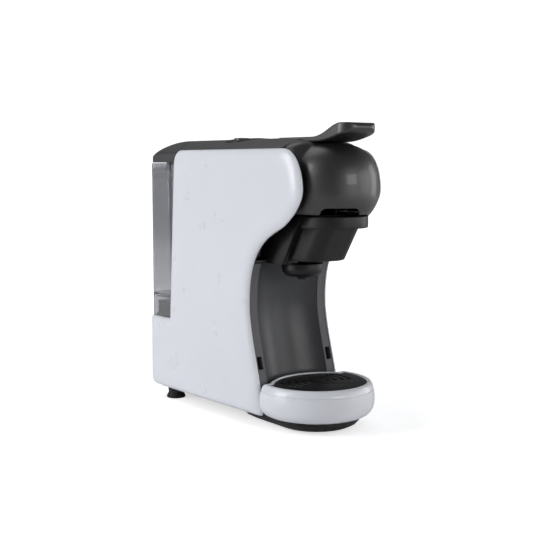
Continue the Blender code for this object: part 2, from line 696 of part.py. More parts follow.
def lever():
    """Handle plate with its pivot barrel and the crank that works the press."""
    joint = "lever"
    plate = prism("lever", "X", lever_profile(), -LEVER_HALF, LEVER_HALF, look="gloss_black", joint=joint)
    corners = []
    for side in (-1, 1):
        spot = (side * (LEVER_HALF - TIP_CORNER), LEVER_TIP[0] - LEVER_NOSE / 2 + TIP_CORNER)
        turn = (270, 360) if side > 0 else (270, 180)
        beyond = spot[1] - TIP_CORNER - 3
        outside = arc(spot, TIP_CORNER, *turn, 5)
        outside += [(side * (LEVER_HALF + 1), spot[1]), (side * (LEVER_HALF + 1), beyond), (spot[0], beyond)]
        corners.append(prism(f"tip_corner_{side}", "Z", outside, LEVER_TOP, LEVER_TIP[1] + 5))
    cut(plate, *corners)
    barrel = circle(PIVOT, PIN_R + 2.5, 20)
    pin = (PIVOT[0] + CRANK[0], PIVOT[1] + CRANK[1])
    parts = [prism("barrel", "X", barrel, -LEVER_HALF + 0.5, LEVER_HALF - 0.5)]
    for side in (-1, 1):
        ear = [(PIVOT[0] - 5, PIVOT[1]), (PIVOT[0] + 5, PIVOT[1]), (PIVOT[0] + 5, LEVER_TOP - 3),
               (PIVOT[0] - 9, LEVER_TOP - 3)]
        low, high = sorted((side * (LEVER_HALF - 7), side * (LEVER_HALF - 0.5)))
        parts.append(prism(f"ear_{side}", "X", ear, low, high))
        low, high = sorted((side * 4.3, side * 7.5))
        parts.append(prism(f"crank_{side}", "X", capsule(PIVOT, pin, 4.6, 3.8), low, high))
    join(plate, *parts)
    return cut(plate, prism("barrel_bore", "X", circle(PIVOT, PIN_R + GAP, 20), -30, 30),
               prism("crank_bore", "X", circle(pin, SMALL_PIN_R + GAP, 16), -9, 9))


def pins():
    reach = CHEEK_IN + CHEEK_THICK
    rod = [(0, -reach), (PIN_R, -reach), (PIN_R, reach), (0, reach)]
    turned("lever_pin", rod, (0, *PIVOT), 20, axis="X", look="steel")
    small = [(0, -7.5), (SMALL_PIN_R, -7.5), (SMALL_PIN_R, 7.5), (0, 7.5)]
    pin = (0, PIVOT[0] + CRANK[0], PIVOT[1] + CRANK[1])
    turned("crank_pin", small, pin, 16, axis="X", look="steel", joint="lever")
    turned("press_pin", small, (0, BREW_Y, pin[2] - LINK_LENGTH), 16, axis="X", look="steel", joint="press")


def press_link():
    """Bar between the crank and the press; its lower eye is long, which lets the crank's arc pass."""
    pin = (PIVOT[0] + CRANK[0], PIVOT[1] + CRANK[1])
    low = (BREW_Y, pin[1] - LINK_LENGTH)
    bar = prism("press_link", "X", capsule(low, pin, 3.0), -3.8, 3.8, look="steel", joint="press_link")
    slot = 2.3
    eye = capsule((low[0] - slot, low[1]), (low[0] + slot, low[1]), 4.2)
    upper = prism("upper_eye", "X", circle(pin, 3.9, 20), -3.8, 3.8)
    join(bar, upper, prism("lower_eye", "X", eye, -3.8, 3.8))
    hole = capsule((low[0] - slot, low[1]), (low[0] + slot, low[1]), SMALL_PIN_R + 0.7)
    return cut(bar, prism("upper_bore", "X", circle(pin, SMALL_PIN_R + GAP, 16), -5, 5),
               prism("lower_slot", "X", hole, -5, 5))


def press():
    """Press head: disc, stem and clevis, with the seal and the water plate under it."""
    low = DRAWER_TOP + 2.3
    pin = PIVOT[1] + CRANK[1] - LINK_LENGTH
    top = pin + 4.5
    body = [(0, low), (PRESS_R, low), (PRESS_R, low + PRESS_THICK - 2), (PRESS_R - 2, low + PRESS_THICK),
            (STEM_R, low + PRESS_THICK), (STEM_R, top), (0, top)]
    head = turned("press_head", body, (0, BREW_Y, 0), 24, look="dark_plastic", joint="press")
    cut(head, box("clevis_slot", (-4.4, BREW_Y - 12, pin - 6), (4.4, BREW_Y + 12, top + 2)),
        prism("clevis_bore", "X", circle((BREW_Y, pin), SMALL_PIN_R + GAP, 16), -12, 12))
    seal = washer(13.5, 18, DRAWER_TOP + 0.4, low - GAP)
    turned("chamber_seal", seal, (0, BREW_Y, 0), 24, ring=True, look="silicone", joint="press")
    plate = prism("water_plate", "Z", circle((0, BREW_Y), 13.2, 24), DRAWER_TOP + 0.7, low - GAP,
                  look="steel", joint="press")
    holes = [prism(f"water_hole_{i}", "Z", circle((x, y), 0.9, 8), DRAWER_TOP, low + 1)
             for i, (x, y) in enumerate(circle((0, BREW_Y), 8, 6))]
    return cut(plate, *holes)


def drawer_ring(z):
    """Section of the drawer's body: slanted, round-cornered front."""
    share = (z - DRAWER_BOTTOM) / (LIP_BOTTOM - DRAWER_BOTTOM)
    front = -106 - 22 * min(share, 1)
    corner = 18.0
    back = BREW_Y + 28 - WALL - GAP
    half = DRAWER_HALF
    plan = arc((-half + corner, front + corner), corner, 180, 270, 5)
    plan += arc((half - corner, front + corner), corner, 270, 360, 5)
    return on_axis("Z", plan + [(half, back), (-half, back)], z)


def capsule_drawer():
    """Pull-out drawer: gripping lip in front, capsule well behind it."""
    joint = "capsule_drawer"
    heights = (DRAWER_BOTTOM, (DRAWER_BOTTOM + LIP_BOTTOM) / 2, LIP_BOTTOM, DRAWER_TOP)
    body = loft("capsule_drawer", [drawer_ring(z) for z in heights], look="dark_plastic", joint=joint)
    plan = arc((0, DOME_Y), LIP_R, 180, 360, 20) + [(LIP_R, LIP_BACK), (-LIP_R, LIP_BACK)]
    join(body, prism("lip", "Z", plan, LIP_BOTTOM, DRAWER_TOP))
    well = [(0, WELL_FLOOR), (WELL_R - 2, WELL_FLOOR), (WELL_R, DRAWER_TOP - 3), (WELL_RIM_R, DRAWER_TOP - 3),
            (WELL_RIM_R, DRAWER_TOP + 2), (0, DRAWER_TOP + 2)]
    grip = [(-22, -104), (-22, -126), (22, -126), (22, -104)]
    return cut(body, turned("well", well, (0, BREW_Y, 0), 24),
               prism("well_outlet", "Z", circle((0, BREW_Y), 4, 20), DRAWER_BOTTOM - 2, WELL_FLOOR + 1),
               prism("lip_pocket", "Z", inset(grip, 0.5), DRAWER_TOP - 8, DRAWER_TOP + 2))


# ---------------------------------------------------------------- drip tray

def tray_back():
    """Y of the tray's round back: clear of the column's middle at its foot."""
    half = RAIL_IN - GAP
    dip = COLUMN_RADIUS - sqrt(COLUMN_RADIUS ** 2 - half ** 2)
    return column_y(COLUMN_FOOT, COLUMN_BACK) + dip - TRAY_CLEAR


def tray_plan(distance=0.0):
    """Round front, two ears beside the rails and a shallow round back, all moved in by a distance."""
    front = TRAY_R - distance
    back = TRAY_BACK_R - distance
    back_centre = tray_back() - TRAY_BACK_R
    ear_y = TOE[0] - 0.8 - distance
    ear_x = sqrt(front ** 2 - (ear_y - TRAY_Y) ** 2)
    notch = sqrt(back ** 2 - (ear_y - back_centre) ** 2)
    start = atan2(ear_y - TRAY_Y, -ear_x) * 180 / pi % 360
    end = atan2(ear_y - TRAY_Y, ear_x) * 180 / pi
    begin = atan2(ear_y - back_centre, notch) * 180 / pi
    return (arc((0, TRAY_Y), front, start, 360 + end, 30)
            + arc((0, back_centre), back, begin, 180 - begin, 12))


def drip_tray():
    """Bowl with a bulging wall, a rounded rim and a ledge that carries the grid."""
    levels = [(TRAY_BOTTOM, 13.0), (TRAY_BOTTOM + 1.2, 8.0), (17.0, 3.6), (22.0, 1.0), (29.0, 0.0),
              (37.0, 0.7), (44.0, 2.2), (TRAY_TOP - 1.4, 3.6), (TRAY_TOP, 5.6)]
    rings = [on_axis("Z", tray_plan(distance), z) for z, distance in levels]
    tray = loft("drip_tray", rings, look="white", joint="drip_tray")
    seat = GRID_TOP - GRID_THICK - GAP
    bowl = [on_axis("Z", tray_plan(13.0 + TRAY_WALL), TRAY_BOTTOM + TRAY_WALL),
            on_axis("Z", tray_plan(GRID_INSET + 2.5), 24.0),
            on_axis("Z", tray_plan(GRID_INSET + 2.5), seat + 0.5)]
    return cut(tray, loft("tray_hollow", bowl),
               prism("grid_seat", "Z", tray_plan(GRID_INSET), seat, TRAY_TOP + 2))


def grid_slots():
    """Crescent slots in rows on both sides of the grid."""
    slots = []
    for side in (0, 180):
        for i, (radius, spread) in enumerate(((14, 34), (22, 32), (30, 30), (38, 26))):
            outline = arc((0, TRAY_Y), radius + 1.7, side - spread, side + spread, 6)
            outline += arc((0, TRAY_Y), radius - 1.7, side + spread, side - spread, 6)
            slots.append(prism(f"grid_slot_{side}_{i}", "Z", outline, GRID_TOP - 5, GRID_TOP + 2))
    return slots


def drip_grid():
    grid = prism("drip_grid", "Z", tray_plan(GRID_INSET + GRID_CLEAR), GRID_TOP - GRID_THICK, GRID_TOP,
                 look="gloss_black", joint="drip_grid")
    return cut(grid, *grid_slots())


# ---------------------------------------------------------------- water tank

def tank_plan(half, back, step_y, front_gap):
    """Plan with a bent front, a step where the panel's edge ends and round back corners."""
    narrow = WIDTH / 2 - PANEL_DEPTH - 0.6
    corner = PLAN_CORNER - (REAR - back)
    front = seam_line(narrow, front_gap)
    return (front + [(narrow, step_y), (half, step_y)]
            + arc((half - corner, back - corner), corner, 0, 90, 6)
            + arc((-half + corner, back - corner), corner, 90, 180, 6)
            + [(-half, step_y), (-narrow, step_y)])


def water_tank():
    """Clear tank: raised floor with the valve hole, and an open skirt over the seat below it."""
    joint = "water_tank"
    plan = tank_plan(TANK_HALF, TANK_BACK, EDGE_LOW + 1.5, 1.2)
    tank = prism("water_tank", "Z", plan, LEDGE + GAP, TANK_TOP, look="clear", joint=joint)
    inside = inset(plan, TANK_WALL)
    return cut(tank, prism("tank_water_space", "Z", inside, TANK_FLOOR, TANK_TOP + 5),
               prism("tank_skirt_space", "Z", inside, LEDGE - 5, TANK_FLOOR - 2.5),
               prism("valve_hole", "Z", circle((0, VALVE_Y), 5.4, 24), TANK_FLOOR - 5, TANK_FLOOR + 2))


def tank_seat():
    """Shelf over the lower back with the raised block that the tank's skirt drops over."""
    plan = inset(tank_plan(TANK_HALF, TANK_BACK, EDGE_LOW + 1.5, 1.2), WALL + 2.0)
    seat = prism("tank_seat", "Z", plan, LEDGE - WALL + 0.2, LEDGE + 18, look="dark_plastic")
    notch = (WIDTH / 2 - PLAN_CORNER - GAP, REAR - PLAN_CORNER - GAP)
    socket = prism("seat_socket", "Z", circle((0, VALVE_Y), 8.5, 28), LEDGE + 4, LEDGE + 25)
    return cut(seat, socket, prism("seat_drain", "Z", circle((0, VALVE_Y), 3, 16), LEDGE - 8, LEDGE + 8),
               box("low_back", (-WIDTH, TANK_BACK - 10, LEDGE + 3), (WIDTH, TANK_BACK + 5, LEDGE + 30)),
               *[box(f"seat_notch_{side}", (min(side * notch[0], side * WIDTH), notch[1], LEDGE - 10),
                     (max(side * notch[0], side * WIDTH), REAR, LEDGE + GAP)) for side in (-1, 1)])


def tank_valve():
    low = TANK_FLOOR + GAP
    stem = [(0, low - 11), (3, low - 11), (5, low - 8), (5, low)]
    stem += [(8.5, low), (8.5, low + 2), (4, low + 3), (0, low + 3)]
    turned("tank_valve", stem, (0, VALVE_Y, 0), 20, look="dark_plastic", joint="tank_valve")
    base = TANK_FLOOR + GAP
    top = base + 3 + VALVE_TRAVEL + 2
    cage = [(9.8, base), (11, base), (11, top), (0, top + 1.5), (0, top + 0.2), (9.8, top - 1.2)]
    turned("tank_filter", cage, (0, VALVE_Y, 0), 20, ring=True, look="silicone", joint="water_tank")
    ring = washer(5.6, 8.2, LEDGE + 4.3, LEDGE + 7)
    turned("seat_gasket", ring, (0, VALVE_Y, 0), 20, ring=True, look="rubber")


def tank_lid():
    """Gloss lid: crowned like the top cover, round over the back, with two locating tabs."""
    joint = "tank_lid"
    step_y = EDGE_HIGH + 1.5
    low = TANK_TOP + GAP + 0.2

    def form(name, shrink, drop, **how):
        plan = tank_plan(LID_HALF, REAR, step_y, 0.4)
        plan = inset(plan, shrink) if shrink else plan
        block = prism(name, "Z", plan, low - (5 if drop else 0), CROWN - drop, **how)
        side = [(80, low - 10)] + [(REAR - shrink, low - 10)]
        side += arc((REAR - LID_ROUND - 8, CROWN - LID_ROUND - drop),
                    (LID_ROUND + 8 - shrink, LID_ROUND), 0, 90, 8)
        side += [(80, CROWN - drop)]
        shoulder = PANEL_TOP - LID_SHOULDER
        across = [(-LID_HALF - 2, low - 10), (LID_HALF + 2, low - 10), (LID_HALF + 2, shoulder - drop)]
        across += crown_arc(drop, 15) + [(-LID_HALF - 2, shoulder - drop)]
        keep(block, prism(name + "_side", "X", side, -WIDTH, WIDTH),
             prism(name + "_crown", "Y", across, 0, REAR + LID_ROUND))
        return block

    lid = form("tank_lid", 0, 0, look="gloss_black", joint=joint)
    cut(lid, form("lid_hollow", WALL, WALL))
    outer = WIDTH / 2 - PANEL_DEPTH - 0.6 - TANK_WALL - 0.6
    front = seam_at(outer) + 7
    top = crown_at(outer) - 1.2
    tabs = []
    for side in (-1, 1):
        low, high = sorted((side * (outer - 3.6), side * outer))
        tabs.append(box(f"lid_tab_{side}", (low, front, TANK_TOP - 8.5), (high, front + 11, top)))
    return join(lid, *tabs)


# ---------------------------------------------------------------- controls and works

def bezel_corners(clearance):
    wide, deep = BEZEL_HALF
    return ((-wide - clearance, BUTTON_Y - deep - clearance), (wide + clearance, BUTTON_Y + deep + clearance))


def controls():
    low, high = bezel_corners(0)
    top = CROWN + BEZEL_PROUD
    bezel = prism("button_bezel", "Z", rounded(low, high, 10, 4), PANEL_TOP, top + 1, look="dark_plastic")
    section = crown_arc(-BEZEL_PROUD) + crown_arc(COVER_WALL + GAP)[::-1]
    keep(bezel, prism("bezel_crown", "Y", section, low[1] - 5, high[1] + 5))
    board_top = 289.6
    for side, name in ((-1, "left"), (1, "right")):
        spot = (side * BUTTON_X, BUTTON_Y)
        cut(bezel, prism(f"button_hole_{name}", "Z", circle(spot, BUTTON_R + 0.4), PANEL_TOP - 5, top + 5))
        height = crown_at(BUTTON_X) + BEZEL_PROUD + BUTTON_PROUD
        foot = board_top + 0.3 + BUTTON_TRAVEL
        cap = [(0, foot), (2.5, foot), (2.5, height - 4), (BUTTON_R, height - 4), (BUTTON_R, height - 0.8),
               (BUTTON_R - 0.8, height), (0, height - 0.5)]
        turned("button_" + name, cap, (*spot, 0), 24, look="gloss_black", joint="button_" + name)
    box("control_board", (-36, 0, board_top - 1.6), (36, 56, board_top), look="board_green")


def rear_controls():
    """Mains switch with its rocker, and the bushing where the mains lead comes out."""
    x, z = SWITCH
    frame = prism("switch_frame", "Y", [(x + a, z + b) for a, b in rounded((-8.7, -11.7), (8.7, 11.7), 2, 2)],
                  REAR - 14, REAR - 0.2, look="dark_plastic")
    cut(frame, box("rocker_space", (x - 6.5, REAR - 12, z - 9.4), (x + 6.5, REAR + 2, z + 9.4)))
    pivot = REAR - 6.0
    rocker = [(pivot + 4.2, z + 7.5), (pivot + 3.0, z), (pivot + 4.2, z - 7.5),
              (pivot, z - 7.5), (pivot - 3, z - 4),
              (pivot - 3, z + 4), (pivot, z + 7.5)]
    prism("power_switch", "X", rocker, x - 6.1, x + 6.1, look="gloss_black", joint="power_switch")
    bush = [(3.6, REAR - 9), (7, REAR - 9), (7, REAR - 0.4), (3.6, REAR - 0.4)]
    turned("cord_bushing", bush, (INLET[0], 0, INLET[1]), 24, axis="Y", ring=True, look="rubber")


def works():
    """Pump on its rubber mounts, heater and the pieces that carry the water."""
    axis_z = 82.0
    section = rounded((-19, axis_z - 19), (19, axis_z + 19), 3, 3)
    pump = prism("pump", "Y", section, 32, 72, look="dark_plastic")
    ends = [(0, 18), (5, 18), (5, 26), (11.8, 26), (11.8, 86), (6, 86), (6, 94), (0, 94)]
    join(pump, turned("pump_ends", ends, (0, 0, axis_z), 24, axis="Y"))
    for name, low in (("front", 27.0), ("rear", 77.0)):
        block = prism("pump_mount_" + name, "Y", rounded((-17, axis_z - 17), (17, axis_z + 17), 5, 3),
                      low, low + 4, look="rubber")
        cut(block, prism(f"mount_bore_{name}", "Y", circle((0, axis_z), 12.1, 24), low - 1, low + 5))
    floor = PEDESTAL_TOP + FLOOR_THICK + GAP
    cradle = box("pump_cradle", (-30, 16, floor), (30, 96, floor + 2), look="steel")
    posts = [box(f"cradle_post_{low}", (-16, low, floor + 1), (16, low + 4, axis_z - 17 - GAP))
             for low in (27, 77)]
    join(cradle, *posts)
    holes = [prism(f"cradle_hole_{i}", "Z", circle(spot, 1.8, 16), floor - 1, floor + 5)
             for i, spot in enumerate(screw_spots())]
    cut(cradle, *holes)
    heater = prism("heater", "Z", rounded((-26, -22), (26, 34), 10, 4), 196, 250, look="aluminium")
    collars = [(0, 190), (6, 190), (6, 256), (0, 256)]
    join(heater, turned("heater_ports", collars, (0, 6, 0), 20))
    meter = [(0, 40), (10, 40), (10, 56), (3, 56), (3, 62), (0, 62)]
    turned("flow_meter", meter, (-42, 76, 0), 20, look="silicone")


def hoses():
    """Hoses from the seat to the pump, from the pump to the heater and on to the brew frame."""
    seat = LEDGE - WALL - GAP - 1.0
    tube("suction_hose", [(0, VALVE_Y, seat), (-2, VALVE_Y, seat - 12), (-16, 124, 82), (-18, 110, 86),
                          (-14, 102, 85), (-5, 100, 82.5), (0, 98, 82), (0, 94.5, 82)], 2.6, "silicone")
    tube("pressure_hose", [(0, 17.6, 82), (0, 8, 84), (-2, -6, 100), (0, -6, 150),
                           (0, 6, 176), (0, 6, 189.6)],
         2.2, "silicone")
    tube("brew_hose", [(0, 6, 256.4), (0, 5, 264), (4, -6, 268), (10, -20, 266), (12, -32.6, 264)],
         2.2, "silicone")


def joints():
    """Empties on every joint's axis, named as the bodies that they carry."""
    pin = (0, PIVOT[0] + CRANK[0], PIVOT[1] + CRANK[1])
    hinge_empty("lever", (0, *PIVOT))
    hinge_empty("press_link", pin, "lever")
    hinge_empty("press", (0, BREW_Y, DRAWER_TOP))
    hinge_empty("capsule_drawer", (0, DOME_Y, DRAWER_BOTTOM))
    hinge_empty("drip_tray", (0, TRAY_Y, TRAY_BOTTOM))
    hinge_empty("drip_grid", (0, TRAY_Y, GRID_TOP), "drip_tray")
    hinge_empty("water_tank", (0, VALVE_Y, LEDGE))
    hinge_empty("tank_lid", (0, VALVE_Y, TANK_TOP), "water_tank")
    hinge_empty("tank_valve", (0, VALVE_Y, TANK_FLOOR), "water_tank")
    hinge_empty("button_left", (-BUTTON_X, BUTTON_Y, CROWN))
    hinge_empty("button_right", (BUTTON_X, BUTTON_Y, CROWN))
    hinge_empty("power_switch", (SWITCH[0], REAR - 6.0, SWITCH[1]))


def build():
    clear_scene()
    joints()
    side_panel("left_side_panel", -1)
    side_panel("right_side_panel", 1)
    rear_cover()
    top_cover()
    bulkhead()
    rail("left_rail", -1)
    rail("right_rail", 1)
    cheek("left_inner_cheek", -1)
    cheek("right_inner_cheek", 1)
    column_cover()
    base_plate()
    feet()
    head_housing()
    brew_frame()
    capsule_guide()
    spout()
    lever()
    pins()
    press_link()
    press()
    capsule_drawer()
    drip_tray()
    drip_grid()
    water_tank()
    tank_seat()
    tank_valve()
    tank_lid()
    controls()
    rear_controls()
    works()
    hoses()


build()
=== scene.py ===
"""Looks of a pod coffee machine: moulded shells, dome, lever, drawer, tray and tank over its CAD frame.

The machine faces -Y and stands on Z = 0. Shapes are worked out in millimetres as whole numpy arrays
and put into the meshes in metres. Every piece rides on the CAD body that it belongs to.
"""
import json
from math import pi, radians

import bmesh
import bpy
import numpy as np
from bpy.props import FloatProperty, FloatVectorProperty, IntProperty, PointerProperty
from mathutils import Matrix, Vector


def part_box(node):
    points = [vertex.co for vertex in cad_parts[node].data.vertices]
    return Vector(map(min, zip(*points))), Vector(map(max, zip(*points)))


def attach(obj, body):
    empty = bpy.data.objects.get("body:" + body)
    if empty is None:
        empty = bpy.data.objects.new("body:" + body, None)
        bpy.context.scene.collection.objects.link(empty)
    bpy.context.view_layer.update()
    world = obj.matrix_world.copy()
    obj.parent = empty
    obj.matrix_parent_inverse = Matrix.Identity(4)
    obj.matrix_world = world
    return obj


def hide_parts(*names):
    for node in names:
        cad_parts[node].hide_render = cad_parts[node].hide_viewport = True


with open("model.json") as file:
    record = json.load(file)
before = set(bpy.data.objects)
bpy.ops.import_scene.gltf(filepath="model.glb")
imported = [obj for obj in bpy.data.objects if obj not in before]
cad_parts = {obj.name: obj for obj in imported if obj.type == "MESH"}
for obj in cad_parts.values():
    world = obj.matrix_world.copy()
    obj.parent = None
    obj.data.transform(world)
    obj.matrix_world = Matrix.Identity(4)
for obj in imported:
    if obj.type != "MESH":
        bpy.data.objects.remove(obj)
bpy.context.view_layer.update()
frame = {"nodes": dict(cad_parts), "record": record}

bl_info = {
    "name": "Pod coffee machine looks",
    "version": (1, 0, 0),
    "blender": (4, 5, 0),
    "location": "View3D > Sidebar > Machine",
    "description": "Builds the visible pieces of a pod coffee machine over its CAD frame",
    "category": "Object",
}

MM = 0.001
MERGE = 1e-6        # metres; points this close become one
STEPS = 96          # around a turned piece
WALL = 2.4          # thickness of the thin mouldings


def node_box(name):
    """Lowest and highest corner of a CAD node, in millimetres."""
    low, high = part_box(name)
    return np.array(low) / MM, np.array(high) / MM


PANEL_LOW, PANEL_HIGH = node_box("right_side_panel")
COVER_LOW, COVER_HIGH = node_box("top_cover")
LID_LOW, LID_HIGH = node_box("tank_lid")
TANK_LOW, TANK_HIGH = node_box("water_tank")
DOME_LOW, DOME_HIGH = node_box("head_housing")
LEVER_LOW, LEVER_HIGH = node_box("lever")
TRAY_LOW, TRAY_HIGH = node_box("drip_tray")
GRID_LOW, GRID_HIGH = node_box("drip_grid")
DRAWER_HIGH = node_box("capsule_drawer")[1]
COLUMN_LOW, COLUMN_HIGH = node_box("column_cover")
RAIL_LOW, RAIL_HIGH = node_box("right_rail")
BEZEL_LOW, BEZEL_HIGH = node_box("button_bezel")

HALF = PANEL_HIGH[0]                # half the machine's width
REAR = PANEL_HIGH[1]
COVER_HALF = COVER_HIGH[0]
CROWN = COVER_HIGH[2]
CROWN_DROP, CROWN_HALF = 12.5, 52.7 # how far the crown falls from its middle, and over what half width
HEAD_SEAM = COVER_LOW[1]
SEAM_MID, SEAM_SWEEP = 118.0, 21.0  # seam between the cover and the lid, and how far it sweeps forward
SEAM_HALF = 50.0                    # half width over which the seam makes its sweep
COVER_CUT = (280.0, 310.0)          # heights that holes in the cover are cut between
LEDGE = 97.0                        # top of the white lower back
EDGE_LOW, EDGE_HIGH = 110.0, 99.0   # panel edge beside the tank, low and high
EDGE_CORNER = (15.0, 16.5)
BACK_REACH, BACK_DEPTH = 4.5, 3.2   # the panels' rounding beside the tank and along the ledge
PLAN_CORNER = 10.0                  # plan radius of the lower back corners
LID_CORNER = 18.0                   # plan radius of the lid's back corners

# Front edge of the side panels, in the side view: ends and pulls of four cubic curves
BROW = (-92.3, PANEL_HIGH[2])
BULGE = (PANEL_LOW[1], 249.6)
TURN = (-86.5, 209.2)
LEAN = (0.9287, -0.3709)
WAIST = (-37.2, 127.6)
TOE = (-60.4, PANEL_LOW[2] + 4.0)
EDGE_CURVES = (
    (BROW, (-112.9, BROW[1]), (BULGE[0], 270.3), BULGE),
    (BULGE, (BULGE[0], 234.2), (TURN[0] - 14.3 * LEAN[0], TURN[1] - 14.3 * LEAN[1]), TURN),
    (TURN, (TURN[0] + 43.4 * LEAN[0], TURN[1] + 43.4 * LEAN[1]), (WAIST[0], 164.5), WAIST),
    (WAIST, (WAIST[0], 97.2), (-58.3, 47.2), TOE),
)

DOME_Y = -108.0
DOME_R = DOME_HIGH[0]
DOME_WIDEST = 251.0                 # height of its widest ring
DOME_RISE = 46.0                    # from there up to its ridge
DOME_RIM_IN = 8.4                   # how far its lower rim draws in
PIVOT = (-50.0, 291.0)              # Y and Z of the lever's hinge
CRANK = (-60.0, 285.0)              # Y and Z of the link's pin on the lever
LEVER_TOP, LEVER_PLATE = 303.3, 2.5 # top of its flat run, and half its thickness there
GRIP_Y = -98.0                      # where the flat run turns into the grip
BREW_Y = -61.0
SOFFIT = 172.0                      # underside of the head
DRAWER_FLOOR, LIP_LOW = 176.0, 211.5
DRAWER_HALF = 27.3
VALVE_Y = 133.0
TRAY_Y = -83.0
TRAY_R = TRAY_HIGH[0]
TRAY_BACK_R = 67.1
TRAY_BACK_Y = TRAY_HIGH[1] - TRAY_BACK_R
BUTTON_Y = 27.0
FLOOR_HALF = 20000.0


# ------------------------------------------------------------------ curves

def bezier(start, pull, push, end, steps):
    """Points of a cubic curve: each corner weighted by its share in (1 - t) and t cubed."""
    t = np.linspace(0, 1, steps + 1)[:, None]
    corners = [np.array(p, float) for p in (start, pull, push, end)]
    weights = ((1 - t) ** 3, 3 * (1 - t) ** 2 * t, 3 * (1 - t) * t * t, t ** 3)
    return sum(w * p for w, p in zip(weights, corners))


def arc(centre, radius, start, end, steps):
    """Points at even angles in degrees; radius is a number or a pair of half-axes."""
    turn = np.radians(np.linspace(start, end, steps + 1))
    wide, tall = np.broadcast_to(radius, 2)
    return np.stack([centre[0] + wide * np.cos(turn), centre[1] + tall * np.sin(turn)], axis=1)


def joined(*runs):
    """Runs of points end to end, without the points that repeat."""
    points = np.concatenate([np.atleast_2d(run) for run in runs])
    step = np.linalg.norm(np.diff(points, axis=0), axis=1)
    return points[np.concatenate([[True], step > 1e-6])]


def even(line, count, closed=False):
    """The same line with its points at even distances."""
    if closed:
        line = np.concatenate([line, line[:1]])
    reach = np.concatenate([[0], np.cumsum(np.linalg.norm(np.diff(line, axis=0), axis=1))])
    at = np.linspace(0, reach[-1], count + 1 if closed else count)
    found = np.stack([np.interp(at, reach, line[:, k]) for k in range(line.shape[1])], axis=1)
    return found[:-1] if closed else found


def rounded(low, high, radius, steps=8):
    """Rectangle with round corners, counter-clockwise."""
    (x0, y0), (x1, y1) = low, high
    spots = (((x1 - radius, y1 - radius), 0), ((x0 + radius, y1 - radius), 90),
             ((x0 + radius, y0 + radius), 180), ((x1 - radius, y0 + radius), 270))
    return joined(*[arc(spot, radius, turn, turn + 90, steps) for spot, turn in spots])


def front_edge(steps=40):
    """Y and Z along the panels' front edge, from the brow down to the toe."""
    return joined(*[bezier(*curve, steps) for curve in EDGE_CURVES],
                  arc((TOE[0] + 4.0, TOE[1]), 4.0, 180, 270, 8))


def edge_at(height):
    """Y of the front edge at each height."""
    line = front_edge()[::-1]
    return np.interp(height, line[:, 1], line[:, 0])


def tank_edge(steps=16):
    """Y and Z along the panel's edge beside the tank, from the ledge up and round its top corner."""
    top = PANEL_HIGH[2]
    corner = arc((EDGE_HIGH - EDGE_CORNER[0], top - EDGE_CORNER[1]), EDGE_CORNER, 0, 90, steps)
    return joined([(EDGE_LOW, LEDGE)], corner)


def tank_edge_at(height):
    """Y of the edge beside the tank at each height."""
    line = tank_edge(48)
    return np.interp(height, line[:, 1], line[:, 0])


def crown_at(x):
    """Height of the top: a parabola across the machine."""
    return CROWN - CROWN_DROP * (np.asarray(x) / CROWN_HALF) ** 2


def seam_at(x):
    """Y of the seam between cover and lid: a parabola that sweeps forward at the sides."""
    return SEAM_MID - SEAM_SWEEP * (np.asarray(x) / SEAM_HALF) ** 2


def bulge(share):
    """A quarter ellipse as a share of its height: 0 at the edge with a level end at 1."""
    return np.sqrt(np.clip(1 - (1 - np.clip(share, 0, 1)) ** 2, 0, 1))


def smooth_step(value):
    """An S from 0 to 1 with level ends: three squares less two cubes."""
    t = np.clip(value, 0, 1)
    return t * t * (3 - 2 * t)


def from_line(points, line, *along):
    """Distance of each point from a line of segments, and the line's own values at the nearest spot."""
    start, step = line[:-1], np.diff(line, axis=0)
    offset = points[:, None, :] - start[None]
    share = np.clip((offset * step).sum(-1) / (step * step).sum(-1), 0, 1)
    away = np.linalg.norm(offset - share[..., None] * step, axis=-1)
    best = away.argmin(axis=1)
    rows = np.arange(len(points))
    there = share[rows, best]
    values = [v[:-1][best] * (1 - there) + v[1:][best] * there for v in along]
    return (away[rows, best], *values)


# ------------------------------------------------------------------ surfaces

class Surface:
    """Points and faces of one piece, gathered from grids of points in millimetres."""

    def __init__(self):
        self.points, self.faces, self.count = [], [], 0

    def grid(self, points, around=False, flip=False, hole=None):
        """A quad between each four neighbours in rows and columns, less those under the hole mask."""
        rows, columns = points.shape[:2]
        index = np.arange(rows * columns).reshape(rows, columns) + self.count
        if around:
            index = np.concatenate([index, index[:, :1]], axis=1)
        quads = np.stack([index[:-1, :-1], index[:-1, 1:], index[1:, 1:], index[1:, :-1]], axis=-1)
        if hole is not None:
            quads = quads[~hole]
        quads = quads.reshape(-1, 4)
        self.faces += (quads[:, ::-1] if flip else quads).tolist()
        self.points.append(points.reshape(-1, 3))
        self.count += rows * columns
        return self

    def turned_about(self, centre, degrees):
        """The same shapes turned about an upright line."""
        across, along = np.cos(radians(degrees)), np.sin(radians(degrees))
        turn = np.array([(across, along, 0), (-along, across, 0), (0, 0, 1)])
        self.points = [(np.asarray(ring, float) - centre) @ turn + centre for ring in self.points]
        return self

    def cap(self, ring):
        """One flat face inside a ring."""
        self.faces.append((np.arange(len(ring)) + self.count).tolist())
        self.points.append(ring)
        self.count += len(ring)
        return self

    def tube(self, rings, caps=True):
        """Skin between closed rings of equal length, with a flat face on each end."""
        rings = np.asarray(rings, float)
        self.grid(rings, around=True)
        if caps:
            self.cap(rings[0])
            self.cap(rings[-1])
        return self


def on_axis(axis, outline, at):
    """Outline points placed at a distance along X, Y or Z."""
    level = np.full(len(outline), float(at))
    order = {"X": (level, outline[:, 0], outline[:, 1]), "Y": (outline[:, 0], level, outline[:, 1]),
             "Z": (outline[:, 0], outline[:, 1], level)}
    return np.stack(order[axis], axis=1)


